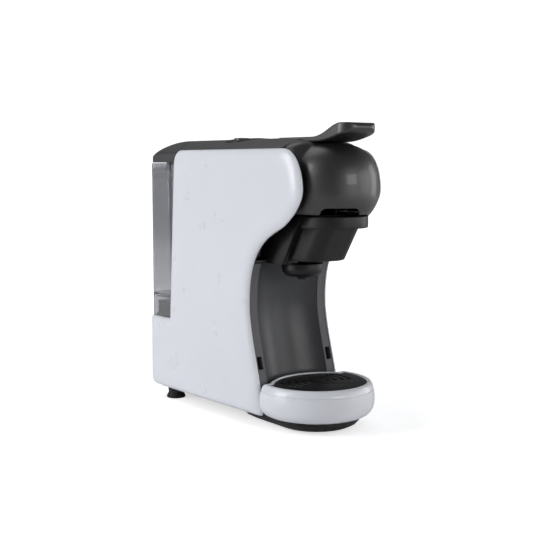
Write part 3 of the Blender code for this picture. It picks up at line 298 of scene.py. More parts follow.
def prism(surface, axis, outline, low, high):
    """An outline carried straight along an axis, with flat ends."""
    return surface.tube([on_axis(axis, outline, low), on_axis(axis, outline, high)])


def block(surface, low, high):
    """A box between two corners."""
    (x0, y0, z0), (x1, y1, z1) = low, high
    return prism(surface, "Z", np.array([(x0, y0), (x1, y0), (x1, y1), (x0, y1)], float), z0, z1)


def turned(surface, profile, centre, axis="Z", ring=False, steps=STEPS):
    """Profile points (radius, distance along the axis) carried round the axis in even steps."""
    profile = np.array(profile, float)
    if ring:
        profile = np.concatenate([profile, profile[:1]])
    turn = np.linspace(0, 2 * pi, steps, endpoint=False)
    side, other = profile[:, :1] * np.cos(turn), profile[:, :1] * np.sin(turn)
    along = np.broadcast_to(profile[:, 1:], side.shape)
    order = {"Z": (side, other, along), "Y": (side, along, other), "X": (along, side, other)}[axis]
    return surface.grid(np.stack(order, axis=-1) + np.array(centre, float), around=True)


def disc(surface, outline, shares, height):
    """Rings of the outline drawn in towards its middle by each share, at a height given by x, y and share."""
    middle = outline.mean(axis=0)
    rings = middle + (outline - middle) * shares[:, None, None]
    levels = height(rings[..., 0], rings[..., 1], shares[:, None])
    return surface.grid(np.concatenate([rings, levels[..., None]], axis=-1), around=True)


# ------------------------------------------------------------------ pieces

def mesh_from(name, surface, closed=True):
    """Mesh in metres, doubles merged; a closed one gets its faces turned outwards."""
    mesh = bpy.data.meshes.new(name)
    mesh.from_pydata((np.concatenate(surface.points) * MM).tolist(), [], surface.faces)
    shell = bmesh.new()
    shell.from_mesh(mesh)
    bmesh.ops.remove_doubles(shell, verts=shell.verts, dist=MERGE)
    bmesh.ops.dissolve_degenerate(shell, edges=shell.edges, dist=MERGE)
    if closed:
        bmesh.ops.recalc_face_normals(shell, faces=shell.faces)
    shell.to_mesh(mesh)
    shell.free()
    mesh.validate()
    return mesh


def raw_object(name, surface, closed=True):
    """A plain object for a surface, at the origin."""
    item = bpy.data.objects.new(name, mesh_from(name, surface, closed))
    bpy.context.scene.collection.objects.link(item)
    return item


def settle(item):
    """Puts the result of the object's modifiers into its mesh."""
    graph = bpy.context.evaluated_depsgraph_get()
    made = bpy.data.meshes.new_from_object(item.evaluated_get(graph))
    item.modifiers.clear()
    old, item.data = item.data, made
    bpy.data.meshes.remove(old)


def wall(item, thickness):
    """Thickens an open skin towards its inside, in millimetres."""
    step = item.modifiers.new("wall", "SOLIDIFY")
    step.thickness = thickness * MM
    step.offset = -1
    settle(item)


def level(item, top):
    """Holds every point of a piece at or below a height, in millimetres."""
    points = np.empty(len(item.data.vertices) * 3)
    item.data.vertices.foreach_get("co", points)
    points[2::3] = np.minimum(points[2::3], top * MM)
    item.data.vertices.foreach_set("co", points)


def combine(item, surface, operation="DIFFERENCE"):
    """Cuts a closed shape out of a piece, or joins it on."""
    tool = raw_object(item.name + "_tool", surface)
    step = item.modifiers.new("combine", "BOOLEAN")
    step.operation = operation
    step.solver = "EXACT"
    step.object = tool
    settle(item)
    mesh = tool.data
    bpy.data.objects.remove(tool)
    bpy.data.meshes.remove(mesh)


def bore(item, radius, low, high, x, y, steps=STEPS):
    """Drills an upright round hole."""
    profile = [(0, low), (radius, low), (radius, high), (0, high)]
    combine(item, turned(Surface(), profile, (x, y, 0), steps=steps))


def soften(item, width, steps=3, angle=40):
    """Rounds the edges that are sharper than an angle, by a width in millimetres."""
    step = item.modifiers.new("soft_edges", "BEVEL")
    step.width = width * MM
    step.segments = steps
    step.limit_method = "ANGLE"
    step.angle_limit = radians(angle)
    step.use_clamp_overlap = True
    settle(item)


def place(item, body, slot, *nodes, sharp=32):
    """Shades a piece, gives it its slot's material and stands it for its CAD nodes."""
    item.data.shade_smooth()
    item.data.set_sharp_from_angle(angle=radians(sharp))
    item.data.materials.clear()
    item.data.materials.append(material(slot))
    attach(item, body)
    if nodes:
        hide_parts(*nodes)
    return item


# ------------------------------------------------------------------ shader maths

class Wire:
    """A socket that takes part in Python arithmetic; each operator adds one Math node."""

    def __init__(self, paint, socket):
        self.paint, self.socket = paint, socket

    def math(self, operation, *values):
        """One Math node on values or wires."""
        inputs = dict(enumerate(values))
        return self.paint.node("ShaderNodeMath", {"operation": operation}, inputs)

    def __add__(self, other):
        return self.math("ADD", self, other)

    def __radd__(self, other):
        return self.math("ADD", other, self)

    def __mul__(self, other):
        return self.math("MULTIPLY", self, other)

    def __rmul__(self, other):
        return self.math("MULTIPLY", other, self)


class Paint:
    """Builds one material's nodes."""

    def __init__(self, name):
        self.material = bpy.data.materials.new(name + "_finish")
        self.material.use_nodes = True
        self.tree = self.material.node_tree
        self.tree.nodes.clear()
        self.count = 0

    def node(self, kind, settings=None, inputs=None, output=0):
        """A node of any type: its settings first, then the values or links of its sockets."""
        made = self.tree.nodes.new(kind)
        made.location = (220 * (self.count % 9), -240 * (self.count // 9))
        self.count += 1
        for key, value in (settings or {}).items():
            if key == "stops":
                self.stops(made.color_ramp, value)
            else:
                setattr(made, key, value)
        for key, value in (inputs or {}).items():
            if isinstance(value, Wire):
                self.tree.links.new(value.socket, made.inputs[key])
            else:
                made.inputs[key].default_value = value
        return Wire(self, made.outputs[output]) if made.outputs else None

    @staticmethod
    def stops(ramp, stops):
        """Sets a ramp's places and colours."""
        while len(ramp.elements) < len(stops):
            ramp.elements.new(1.0)
        for element, (place_at, colour) in zip(ramp.elements, stops):
            element.position = place_at
            element.color = colour if hasattr(colour, "__len__") else (colour, colour, colour, 1.0)

    def place(self):
        """Object coordinates, in metres."""
        return self.node("ShaderNodeTexCoord", output="Object")

    def stretched(self, scale):
        """Object coordinates drawn out differently along X, Y and Z."""
        return self.node("ShaderNodeMapping", None, {"Vector": self.place(), "Scale": scale})

    def noise(self, scale, detail=3.0, roughness=0.5, at=None):
        """Soft noise of 0 to 1, in object coordinates unless others are given."""
        return self.node("ShaderNodeTexNoise", None, {
            "Vector": at or self.place(), "Scale": scale, "Detail": detail, "Roughness": roughness})

    def ramp(self, value, *stops):
        """A value sent through stops of (place, level)."""
        return self.node("ShaderNodeValToRGB", {"stops": stops}, {"Fac": value})

    def blend(self, share, first, second):
        """A colour between two others."""
        return self.node("ShaderNodeMix", {"data_type": "RGBA"}, {0: share, 6: first, 7: second}, output=2)

    def bump(self, height, depth, strength=1.0):
        """A surface normal raised by a height of 0 to 1 times a depth in metres."""
        return self.node("ShaderNodeBump", None, {"Strength": strength, "Distance": depth, "Height": height})

    def finish(self, **inputs):
        """The Principled shader and the output. Underscores in names stand for spaces."""
        sockets = {key.replace("_", " "): value for key, value in inputs.items()}
        shader = self.node("ShaderNodeBsdfPrincipled", None, sockets)
        self.node("ShaderNodeOutputMaterial", None, {"Surface": shader})
        return self.material


def colour(values, gain=1.0):
    """Red, green and blue scaled by a gain, with full alpha."""
    return (*[value * gain for value in values], 1.0)


def white_shell():
    """Glossy white moulding: a cool white with faint flow clouding, fine dust and orange peel."""
    paint = Paint("white_shell")
    tint = finishes().shell
    cloud = paint.ramp(paint.noise(9.0, 4.0), (0.35, 0.0), (0.65, 1.0))
    dust = paint.ramp(paint.noise(900.0, 2.0), (0.70, 0.0), (0.80, 1.0))
    base = paint.blend(cloud, colour(tint, 0.975), colour(tint))
    base = paint.blend(dust * 0.03, base, colour((0.45, 0.44, 0.42)))
    peel = paint.noise(260.0, 2.0)
    rough = 0.24 + 0.10 * paint.noise(35.0, 5.0) + 0.10 * dust
    return paint.finish(Base_Color=base, Roughness=rough, Normal=paint.bump(peel, 0.00006, 0.35),
                        Coat_Weight=0.2, Coat_Roughness=0.10, Specular_IOR_Level=0.4)


def gloss_black():
    """Polished black moulding: soft broad sheen under a hard clear skin, smears and a little dust."""
    paint = Paint("gloss_black")
    tint = finishes().gloss
    smear = paint.noise(14.0, 6.0, 0.6, paint.stretched((1.0, 1.0, 2.2)))
    smear = paint.ramp(smear, (0.40, 0.0), (0.72, 1.0))
    dust = paint.ramp(paint.noise(1200.0, 2.0), (0.71, 0.0), (0.80, 1.0))
    base = paint.blend(smear, colour(tint), colour(tint, 1.5))
    base = paint.blend(dust * 0.35, base, colour((0.16, 0.16, 0.165)))
    rough = 0.45 + 0.06 * smear + 0.1 * dust
    peel = paint.noise(180.0, 2.0)
    return paint.finish(Base_Color=base, Roughness=rough, Normal=paint.bump(peel, 0.00004, 0.25),
                        Specular_IOR_Level=1.0, Coat_Weight=0.18, Coat_Roughness=0.05)


def dark_plastic():
    """Satin black plastic with a fine spark-eroded grain and rubbed high spots."""
    paint = Paint("dark_plastic")
    tint = finishes().satin
    grain = paint.node("ShaderNodeTexVoronoi", None, {"Vector": paint.place(), "Scale": 1500.0})
    wear = paint.ramp(paint.noise(28.0, 6.0, 0.65), (0.45, 0.0), (0.75, 1.0))
    base = paint.blend(wear, colour(tint), colour(tint, 1.7))
    rough = 0.40 + 0.10 * wear + 0.08 * grain
    return paint.finish(Base_Color=base, Roughness=rough, Normal=paint.bump(grain, 0.00007, 0.5),
                        Specular_IOR_Level=0.4)


def column_gloss():
    """Dark grey gloss with upright polishing marks."""
    paint = Paint("column_gloss")
    tint = finishes().column
    marks = paint.noise(60.0, 5.0, 0.6, paint.stretched((14.0, 14.0, 0.35)))
    smear = paint.ramp(paint.noise(16.0, 5.0), (0.4, 0.0), (0.7, 1.0))
    base = paint.blend(marks, colour(tint, 0.85), colour(tint, 1.15))
    rough = 0.30 + 0.08 * smear + 0.06 * marks
    return paint.finish(Base_Color=base, Roughness=rough, Normal=paint.bump(marks, 0.00003, 0.25),
                        Specular_IOR_Level=0.3)


def rail_grey():
    """Matt mid-grey moulding with a pebbled texture."""
    paint = Paint("rail_grey")
    tint = finishes().rail
    grain = paint.node("ShaderNodeTexVoronoi", None, {"Vector": paint.place(), "Scale": 1100.0})
    cloud = paint.noise(40.0, 5.0)
    base = paint.blend(cloud, colour(tint, 0.85), colour(tint, 1.15))
    rough = 0.50 + 0.14 * grain
    return paint.finish(Base_Color=base, Roughness=rough, Normal=paint.bump(grain, 0.0001, 0.6),
                        Specular_IOR_Level=0.4)


def clear_tank():
    """Smoke-tinted clear plastic with flow lines and water marks, and painted shade that darkens it where it
    is seen edge on.
    """
    paint = Paint("clear_tank")
    tint = finishes().tank
    flow = paint.noise(30.0, 4.0, 0.5, paint.stretched((6.0, 6.0, 0.4)))
    marks = paint.ramp(paint.noise(45.0, 6.0, 0.7), (0.55, 0.0), (0.75, 1.0))
    # Painted shade: the mask below darkens the base colour where the tank is seen edge on, in place of light
    # lost through its thick walls.
    edge = paint.node("ShaderNodeLayerWeight", None, {"Blend": 0.35}, output="Facing")
    base = paint.blend(flow, colour(tint, 0.88), colour(tint))
    # Painted shade mixed in: up to 0.4 of a darker tint at grazing views.
    base = paint.blend(edge * edge * 0.4, base, colour(tint, 0.4))
    rough = 0.06 + 0.10 * marks
    return paint.finish(Base_Color=base, Roughness=rough, Normal=paint.bump(flow, 0.00015, 0.3),
                        Transmission_Weight=0.90, IOR=1.30, Specular_IOR_Level=0.4)


def rubber():
    """Matt black rubber, slightly chalky."""
    paint = Paint("rubber")
    chalk = paint.ramp(paint.noise(120.0, 6.0, 0.7), (0.45, 0.0), (0.75, 1.0))
    base = paint.blend(chalk, colour((0.012, 0.012, 0.012)), colour((0.035, 0.034, 0.033)))
    return paint.finish(Base_Color=base, Roughness=0.72 + 0.15 * chalk,
                        Normal=paint.bump(paint.noise(900.0), 0.00008, 0.5), Specular_IOR_Level=0.3)


def steel():
    """Turned steel with fine machining marks."""
    paint = Paint("steel")
    marks = paint.noise(200.0, 4.0, 0.6, paint.stretched((12.0, 1.0, 1.0)))
    base = paint.blend(marks, colour((0.44, 0.45, 0.46)), colour((0.64, 0.64, 0.65)))
    return paint.finish(Base_Color=base, Metallic=1.0, Roughness=0.22 + 0.2 * marks,
                        Normal=paint.bump(marks, 0.00004, 0.4))


def aluminium():
    """Die-cast aluminium with a grainy skin."""
    paint = Paint("aluminium")
    grain = paint.noise(420.0, 5.0, 0.7)
    stain = paint.ramp(paint.noise(25.0, 4.0), (0.4, 0.0), (0.7, 1.0))
    base = paint.blend(stain, colour((0.62, 0.63, 0.65)), colour((0.50, 0.49, 0.47)))
    return paint.finish(Base_Color=base, Metallic=1.0, Roughness=0.38 + 0.2 * grain,
                        Normal=paint.bump(grain, 0.00012, 0.6))


def circuit_board():
    """Green solder mask over a lattice of tracks and pads."""
    paint = Paint("circuit_board")
    tracks = paint.node("ShaderNodeTexBrick", {"offset": 0.37}, {
        "Vector": paint.place(), "Scale": 120.0, "Mortar Size": 0.035, "Color1": colour((0, 0, 0)),
        "Color2": colour((0, 0, 0)), "Mortar": colour((1, 1, 1))}, output="Fac")
    cloud = paint.noise(60.0)
    mask = paint.blend(cloud, colour((0.012, 0.10, 0.035)), colour((0.02, 0.15, 0.05)))
    base = paint.blend(tracks, mask, colour((0.05, 0.27, 0.10)))
    return paint.finish(Base_Color=base, Roughness=0.30 + 0.15 * cloud,
                        Normal=paint.bump(tracks, 0.00006, 0.6))


def silicone():
    """Milky silicone with a waxy surface."""
    paint = Paint("silicone")
    cloud = paint.noise(70.0, 5.0)
    base = paint.blend(cloud, colour((0.66, 0.66, 0.62)), colour((0.80, 0.80, 0.77)))
    return paint.finish(Base_Color=base, Roughness=0.45 + 0.2 * cloud,
                        Normal=paint.bump(paint.noise(500.0), 0.00006, 0.4), Specular_IOR_Level=0.35)


MAKERS = {make.__name__: make for make in (
    white_shell, gloss_black, dark_plastic, column_gloss, rail_grey, clear_tank, rubber, steel,
    aluminium, circuit_board, silicone)}


def material(slot):
    """The slot's material, made the first time that it is wanted."""
    return bpy.data.materials.get(slot + "_finish") or MAKERS[slot]()


# ------------------------------------------------------------------ properties

class MachineSizes(bpy.types.PropertyGroup):
    """Sizes in millimetres that shape the softer forms."""
    edge_reach: FloatProperty(name="Edge reach", default=17.0, min=4.0, max=25.0,
                              description="How far the panels' front rounding runs in from the edge, in mm")
    top_reach: FloatProperty(name="Top reach", default=8.0, min=2.0, max=20.0,
                             description="How far the panels' top rounding runs in from the edge, in mm")
    panel_depth: FloatProperty(name="Panel depth", default=6.0, min=3.0, max=6.0,
                               description="How far the panels' face stands out from their rim, in mm")
    dome_fullness: FloatProperty(name="Dome fullness", default=2.6, min=2.0, max=4.0,
                                 description="Exponent of the dome's section: 2 is an ellipse")
    tray_groove: FloatProperty(name="Tray groove", default=0.6, min=0.0, max=1.5,
                               description="Depth of the groove round the tray, in mm")
    lever_round: FloatProperty(name="Lever edge", default=1.6, min=0.3, max=2.4,
                               description="Rounding of the lever's edges, in mm")
    rows: IntProperty(name="Rows", default=96, min=24, max=200,
                      description="Rows of points up a side panel")


class MachineFinishes(bpy.types.PropertyGroup):
    """Colours of the mouldings."""
    shell: FloatVectorProperty(name="Shell", subtype="COLOR", size=3, default=(0.775, 0.79, 0.84),
                               description="White of the casing and the tray")
    gloss: FloatVectorProperty(name="Gloss black", subtype="COLOR", size=3, default=(0.0035, 0.0035, 0.0042),
                               description="Black of the dome, lid and lever")
    satin: FloatVectorProperty(name="Satin black", subtype="COLOR", size=3, default=(0.0045, 0.0045, 0.0052),
                               description="Black of the drawer and the head's underside")
    column: FloatVectorProperty(name="Column", subtype="COLOR", size=3, default=(0.055, 0.056, 0.060),
                                description="Dark grey behind the cup")
    rail: FloatVectorProperty(name="Rails", subtype="COLOR", size=3, default=(0.11, 0.11, 0.117),
                              description="Grey of the rails beside the column")
    tank: FloatVectorProperty(name="Tank", subtype="COLOR", size=3, default=(0.92, 0.925, 0.95),
                              description="Tint of the clear tank")


class MachineStage(bpy.types.PropertyGroup):
    """Camera and lights."""
    lens: FloatProperty(name="Lens", default=66.37, min=20.0, max=200.0, subtype="NONE",
                        description="Focal length on a 36 mm wide sensor, in mm")
    eye: FloatVectorProperty(name="Camera place", subtype="TRANSLATION", unit="LENGTH", size=3,
                             default=(-0.69543, -0.88198, 0.27511), description="Where the camera stands")
    pitch: FloatProperty(name="Downward tilt", subtype="ANGLE", unit="ROTATION", default=radians(6.22),
                         description="How far the camera looks down")
    turn: FloatProperty(name="Turn", subtype="ANGLE", unit="ROTATION", default=radians(-38.73),
                        description="Camera's turn about the upright from looking along Y")
    strength: FloatProperty(name="Light", default=1.0, min=0.0, max=5.0,
                            description="Scales every lamp")


def sizes():
    """The sizes that a user can change."""
    return bpy.context.scene.machine_sizes


def finishes():
    """The colours that a user can change."""
    return bpy.context.scene.machine_finishes


def stage_settings():
    """The settings of the camera and the lamps."""
    return bpy.context.scene.machine_stage


# ------------------------------------------------------------------ casing

FRONT_RUN = np.array([0, 0.08, 0.3, 0.7, 1.3, 2.1, 3.1, 4.3, 5.8, 7.5, 9.5, 11.8, 14.2, 17.0, 20.0])
BACK_RUN = np.array([4.5, 3.4, 2.4, 1.5, 0.8, 0.3, 0.06, 0.0])


def spread(low, high, count, low_pull=1.0, high_pull=1.0):
    """Values from low to high, closer together at the pulled ends."""
    t = np.linspace(0, 1, count)
    t = t ** (1 + low_pull * (1 - t))
    t = 1 - (1 - t) ** (1 + high_pull * t)
    return low + (high - low) * t


def panel_columns(front, back):
    """Y of each point in a row: close together at both edges, even between."""
    start = front[:, None] + FRONT_RUN
    end = back[:, None] - BACK_RUN
    share = np.linspace(0, 1, 16)[1:-1]
    middle = start[:, -1:] + (end[:, :1] - start[:, -1:]) * share
    return np.concatenate([start, middle, end], axis=1)


def panel_drop(y, z, wrap):
    """How far each point of a panel's face falls back from its outermost plane.

    Near each edge the face follows a quarter ellipse of its own reach and depth; where two edges
    meet, the falls are added as the cube root of their cubes. Wrap is the share of the way round
    the back corner, where the bottom rounding grows to the lower back corner's radius.
    """
    size = sizes()
    flat = np.stack([y.ravel(), z.ravel()], axis=1)
    rim = joined(front_edge()[::-1], tank_edge()[::-1])
    run = np.concatenate([[0], np.cumsum(np.linalg.norm(np.diff(rim, axis=0), axis=1))])
    from_brow = run - run[np.abs(rim[:, 1] - BROW[1]).argmin()]
    on_top = smooth_step((from_brow + 18) / 30)
    on_back = smooth_step((from_brow - 150) / 25)
    reach = size.edge_reach + (size.top_reach - size.edge_reach) * on_top
    reach = reach + (BACK_REACH - reach) * on_back
    depth = size.panel_depth + (BACK_DEPTH - size.panel_depth) * on_back
    away, reach, depth = from_line(flat, rim, reach, depth)
    falls = [depth * (1 - bulge(away / reach))]
    ledge = np.array([(EDGE_LOW, LEDGE), (REAR + 60, LEDGE)])
    falls.append(BACK_DEPTH * (1 - bulge(from_line(flat, ledge)[0] / BACK_REACH)))
    low = size.panel_depth + (9.2 - size.panel_depth) * wrap.ravel()
    falls.append(low * (1 - bulge((flat[:, 1] - PANEL_LOW[2]) / (low + 1.5))))
    return (sum(fall ** 3 for fall in falls) ** (1 / 3)).reshape(y.shape)


def side_panel(side):
    """A panel's skin: rows of points at each height over the face, and round the lower back corner."""
    rows = sizes().rows
    upper = spread(LEDGE, PANEL_HIGH[2], rows, 0.8, 1.6)
    lower = spread(PANEL_LOW[2], LEDGE, rows // 2, 1.4, 0.8)
    skin = Surface()
    y = panel_columns(edge_at(upper), tank_edge_at(upper))
    z = np.broadcast_to(upper[:, None], y.shape)
    x = HALF - panel_drop(y, z, np.zeros_like(y))
    skin.grid(np.stack([side * x, y, z], axis=-1), flip=side < 0)

    bend = REAR - PLAN_CORNER
    beyond = np.concatenate([spread(EDGE_LOW, bend, 8)[1:],
                             bend + np.linspace(0, PLAN_CORNER * pi / 2, 22)[1:]])
    reach = np.concatenate([panel_columns(edge_at(lower), np.full(len(lower), EDGE_LOW)),
                            np.broadcast_to(beyond, (len(lower), len(beyond)))], axis=1)
    z = np.broadcast_to(lower[:, None], reach.shape)
    wrap = smooth_step((reach - EDGE_LOW) / 45)
    radius = PLAN_CORNER - panel_drop(reach, z, wrap)
    turn = np.clip((reach - bend) / PLAN_CORNER, 0, pi / 2)
    x = HALF - PLAN_CORNER + radius * np.cos(turn)
    y = np.minimum(reach, bend) + radius * np.sin(turn)
    skin.grid(np.stack([side * x, y, z], axis=-1), flip=side < 0)

    name = "side_shell_right" if side > 0 else "side_shell_left"
    item = raw_object(name, skin, closed=False)
    wall(item, WALL)
    level(item, PANEL_HIGH[2])
    node = "right_side_panel" if side > 0 else "left_side_panel"
    return place(item, "casing", "white_shell", node, sharp=50)


def cover():
    """Crowned cover in three strips: either side of the lever's slot, and the whole width behind it."""
    half, slot, behind = COVER_HALF, 23.3, -37.0
    skin = Surface()
    for side in (-1, 1):
        x, y = np.meshgrid(np.linspace(side * slot, side * half, 13), np.linspace(HEAD_SEAM, behind, 14))
        skin.grid(np.stack([x, y, crown_at(x)], axis=-1), flip=side < 0)
    x = joined(*[np.stack([run, 0 * run], axis=1) for run in (
        np.linspace(-half, -slot, 13), np.linspace(-slot, slot, 17), np.linspace(slot, half, 13))])[:, 0]
    share = np.linspace(0, 1, 40)[:, None]
    y = behind + (seam_at(x) - 0.3 - behind) * share
    x = np.broadcast_to(x, y.shape)
    skin.grid(np.stack([x, y, crown_at(x)], axis=-1))
    item = raw_object("top_cover_shell", skin, closed=False)
    wall(item, 3.0)
    (x0, y0, _), (x1, y1, _) = BEZEL_LOW - 0.3, BEZEL_HIGH + 0.3
    combine(item, prism(Surface(), "Z", rounded((x0, y0), (x1, y1), 10), *COVER_CUT))
    soften(item, 0.7)
    return place(item, "casing", "gloss_black", "top_cover")


def bezel():
    """Raised surround of the buttons: round-cornered disc that follows the crown, with two holes."""
    outline = even(rounded(BEZEL_LOW[:2], BEZEL_HIGH[:2], 10, 12), 160, closed=True)
    skin = Surface()
    shares = np.concatenate([[1.0], 1 - 0.05 * np.linspace(0, 1, 7)[1:] ** 1.6, np.linspace(0.9, 0, 12)])
    disc(skin, outline, shares, lambda x, y, s: crown_at(x) + 1.0 - 0.9 * (1 - bulge((1 - s) / 0.05)))
    edge = np.concatenate([outline, (crown_at(outline[:, 0]) + 0.1)[:, None]], axis=1)
    foot = on_axis("Z", outline, BEZEL_LOW[2])
    skin.grid(np.stack([edge, foot]), around=True)
    skin.cap(foot)
    item = raw_object("button_surround", skin)
    for node in ("button_left", "button_right"):
        low, high = node_box(node)
        bore(item, (high[0] - low[0]) / 2 + 0.4, *COVER_CUT, (low[0] + high[0]) / 2, BUTTON_Y)
    soften(item, 0.35, 2)
    return place(item, "casing", "dark_plastic", "button_bezel")


def button(node):
    """Round cap with a dished top and a stem."""
    low, high = node_box(node)
    radius, top = (high[0] - low[0]) / 2, high[2]
    dish = [(radius * s, top - 0.5 * (1 - s ** 4)) for s in np.linspace(0, 0.88, 12)]
    rim = arc((radius - 0.9, top - 0.9), 0.9, 90, 0, 6).tolist()
    profile = dish + rim + [(radius, top - 4), (2.5, top - 4), (2.5, low[2]), (0, low[2])]
    item = raw_object(node + "_cap", turned(Surface(), profile, ((low[0] + high[0]) / 2, BUTTON_Y, 0)))
    return place(item, node, "gloss_black", node)


# ------------------------------------------------------------------ tank and lid

def lid_outline():
    """Plan of the lid as X and the share of the way back from the seam, right front round to left front."""
    half = LID_HIGH[0]
    deep = LID_CORNER / (REAR - seam_at(half))
    side = np.stack([np.full(24, half), np.linspace(0, 1 - deep, 24)], axis=1)
    corner = arc((half - LID_CORNER, 1 - deep), (LID_CORNER, deep), 0, 90, 16)
    back = np.stack([np.linspace(half - LID_CORNER, 0, 20), np.ones(20)], axis=1)
    right = joined(side, corner, back)
    return joined(right, right[::-1] * (-1, 1))


def lid():
    """Lid: the plan's outline drawn in towards the middle of the seam, its height a quarter ellipse.

    The sides draw in by a few millimetres and the back by much more, so the top rolls over the back.
    The sides start where the panel's round corner leaves them free.
    """
    plan = lid_outline()
    half, low = LID_HIGH[0], 277.8
    side_in, back_in = 3.2, 24.0
    toward_back = smooth_step((plan[:, 1] - 0.55) / 0.35)
    shoulder = 286.4 - 3.0 * toward_back
    roll = 1 - np.cos(np.linspace(0, pi / 2, 16))
    draw = np.concatenate([roll, 1 + np.linspace(0, 1, 22)[1:]])[:, None]
    edge, rest = np.minimum(draw, 1), np.maximum(draw - 1, 0)
    x = plan[:, 0] * (1 - side_in * edge / half) * (1 - rest)
    share = plan[:, 1] * (1 - back_in * edge / (REAR - seam_at(half))) * (1 - rest)
    z = shoulder + (crown_at(x) - shoulder) * bulge(edge) ** 0.9
    rise = np.array([0.0, 0.06, 0.5])[:, None]
    x = np.concatenate([np.repeat(plan[None, :, 0], 3, axis=0), x])
    share = np.concatenate([np.repeat(plan[None, :, 1], 3, axis=0), share])
    z = np.concatenate([low + (shoulder - low) * rise, z])
    seam = seam_at(x) + 0.4
    front = np.where(np.abs(x) > COVER_HALF, np.maximum(seam, tank_edge_at(z) + 1.4), seam)
    y = front + (REAR - front) * share
    item = raw_object("lid_shell", Surface().grid(np.stack([x, y, z], axis=-1)), closed=False)
    wall(item, WALL)
    tabs = Surface()
    for side in (-1, 1):
        inner, outer = sorted((side * 46.0, side * 49.6))
        block(tabs, (inner, 106.0, LID_LOW[2]), (outer, 126.0, 288.0))
    combine(item, tabs, "UNION")
    soften(item, 0.5)
    return place(item, "tank_lid", "gloss_black", "tank_lid")


def tank_plan(shrink=0.0):
    """Plan of the tank: bent front between the panels, a step outwards and round back corners."""
    narrow = 52.4 - shrink
    half, back = TANK_HIGH[0] - shrink, TANK_HIGH[1] - shrink
    corner = PLAN_CORNER - 3.0 - shrink
    x = np.linspace(-narrow, narrow, 31)
    front = np.stack([x, seam_at(x) + 1.2 + shrink], axis=1)
    step_y = EDGE_LOW + 1.5 + shrink
    return joined(front, [(narrow, step_y - 1.5)], arc((narrow + 1.5, step_y - 1.5), 1.5, 180, 90, 4),
                  arc((half - 1.5, step_y + 1.5), 1.5, -90, 0, 4),
                  arc((half - corner, back - corner), corner, 0, 90, 14),
                  arc((-half + corner, back - corner), corner, 90, 180, 14),
                  arc((-half + 1.5, step_y + 1.5), 1.5, 180, 270, 4),
                  arc((-narrow - 1.5, step_y - 1.5), 1.5, 90, 0, 4), [(-narrow, step_y - 1.5)])


def tank():
    """Clear tank: an outer and an inner skin joined by a rolled rim, over a floor with the valve hole."""
    thick = 2.2
    low, high = TANK_LOW[2], TANK_HIGH[2]
    floor = (121.5, 124.0)
    outer, inner = tank_plan(), tank_plan(thick)
    rim = [(outer, high - 0.8), (tank_plan(0.3), high - 0.2), (tank_plan(1.1), high),
           (tank_plan(thick - 0.3), high - 0.2), (inner, high - 0.8)]
    heights = np.linspace(high - 0.8, floor[1] + 2, 24)[1:]
    rings = [on_axis("Z", outer, z) for z in np.linspace(low, high - 0.8, 30)[:-1]]
    rings += [on_axis("Z", ring, z) for ring, z in rim]
    rings += [on_axis("Z", inner, z) for z in heights]
    rings += [on_axis("Z", tank_plan(thick + 0.6), floor[1] + 0.6),
              on_axis("Z", tank_plan(thick + 2), floor[1])]
    under = [on_axis("Z", tank_plan(thick + 2), floor[0]), on_axis("Z", inner, floor[0] - 1.5),
             on_axis("Z", inner, low)]
    skin = Surface()
    skin.grid(np.stack(rings), around=True)
    skin.cap(rings[-1])
    skin.cap(under[0])
    skin.grid(np.stack(under + [rings[0]]), around=True)
    item = raw_object("tank_shell", skin)
    bore(item, 5.4, 110, 130, 0, VALVE_Y, steps=48)
    return place(item, "water_tank", "clear_tank", "water_tank", sharp=40)


# ------------------------------------------------------------------ head

def dome_line(count=48):
    """Plan line of the dome as (unit X, unit Y, Y of its centre, share towards the cover)."""
    turn = np.radians(np.linspace(0, -180, count + 1))
    back = np.linspace(HEAD_SEAM - 0.3, DOME_Y, 12)[:-1]
    ahead = np.concatenate([np.ones(11), np.cos(turn), -np.ones(11)])
    out = np.concatenate([np.zeros(11), np.sin(turn), np.zeros(11)])
    at = np.concatenate([back, np.full(count + 1, DOME_Y), back[::-1]])
    toward = smooth_step((at - DOME_Y) / (HEAD_SEAM - DOME_Y))
    return ahead, out, at, toward


def dome():
    """Dome: a superellipse from the widest ring up to the ridge, and a power curve down to the rim.

    Towards the cover the superellipse grows squarer and taller until it meets the crown.
    """
    ahead, out, at, toward = dome_line()
    power = sizes().dome_fullness + (13.0 - sizes().dome_fullness) * toward
    reach = DOME_R + 1.6 * toward
    t = np.linspace(0, pi / 2, 40)[:, None]
    ring = np.clip(np.cos(t), 0, 1) ** (2 / power)
    x, y = reach * ring * ahead, at + DOME_R * ring * out
    top = DOME_RISE + (crown_at(x) - DOME_WIDEST - DOME_RISE) * toward
    z = DOME_WIDEST + top * np.sin(t) ** (2 / power)
    upper = np.stack([x, np.broadcast_to(y, x.shape), z], axis=-1)
    share = np.linspace(1, 0, 16)[:-1, None]
    ring = 1 - (DOME_RIM_IN / DOME_R) * share ** 2.5
    x, y = reach * ring * ahead, at + DOME_R * ring * out
    z = np.broadcast_to(DOME_WIDEST - (DOME_WIDEST - DOME_LOW[2]) * share, x.shape)
    lower = np.stack([x, np.broadcast_to(y, x.shape), z], axis=-1)
    whole = np.concatenate([lower, upper])
    first = whole[:, :1] * (0.94, 1, 1)
    first[..., 2] -= np.where(first[..., 2] > 280, 4.0, 0.0)
    last = first * (-1, 1, 1)
    back = (0, 13.0, 0)
    whole = np.concatenate([first + back, first, whole, last, last + back], axis=1)
    item = raw_object("head_dome", Surface().grid(whole, flip=True), closed=False)
    wall(item, WALL)
    notch = rounded((-20, DOME_LOW[2] - 10), (20, DOME_LOW[2] + 7), 6)
    cutter = prism(Surface(), "Y", notch, DOME_Y - DOME_R - 5, DOME_Y - DOME_R + 22)
    combine(item, cutter.turned_about((0, DOME_Y, 0), -30))
    soften(item, 0.5, 2, 55)
    return place(item, "casing", "gloss_black", "head_housing", sharp=40)


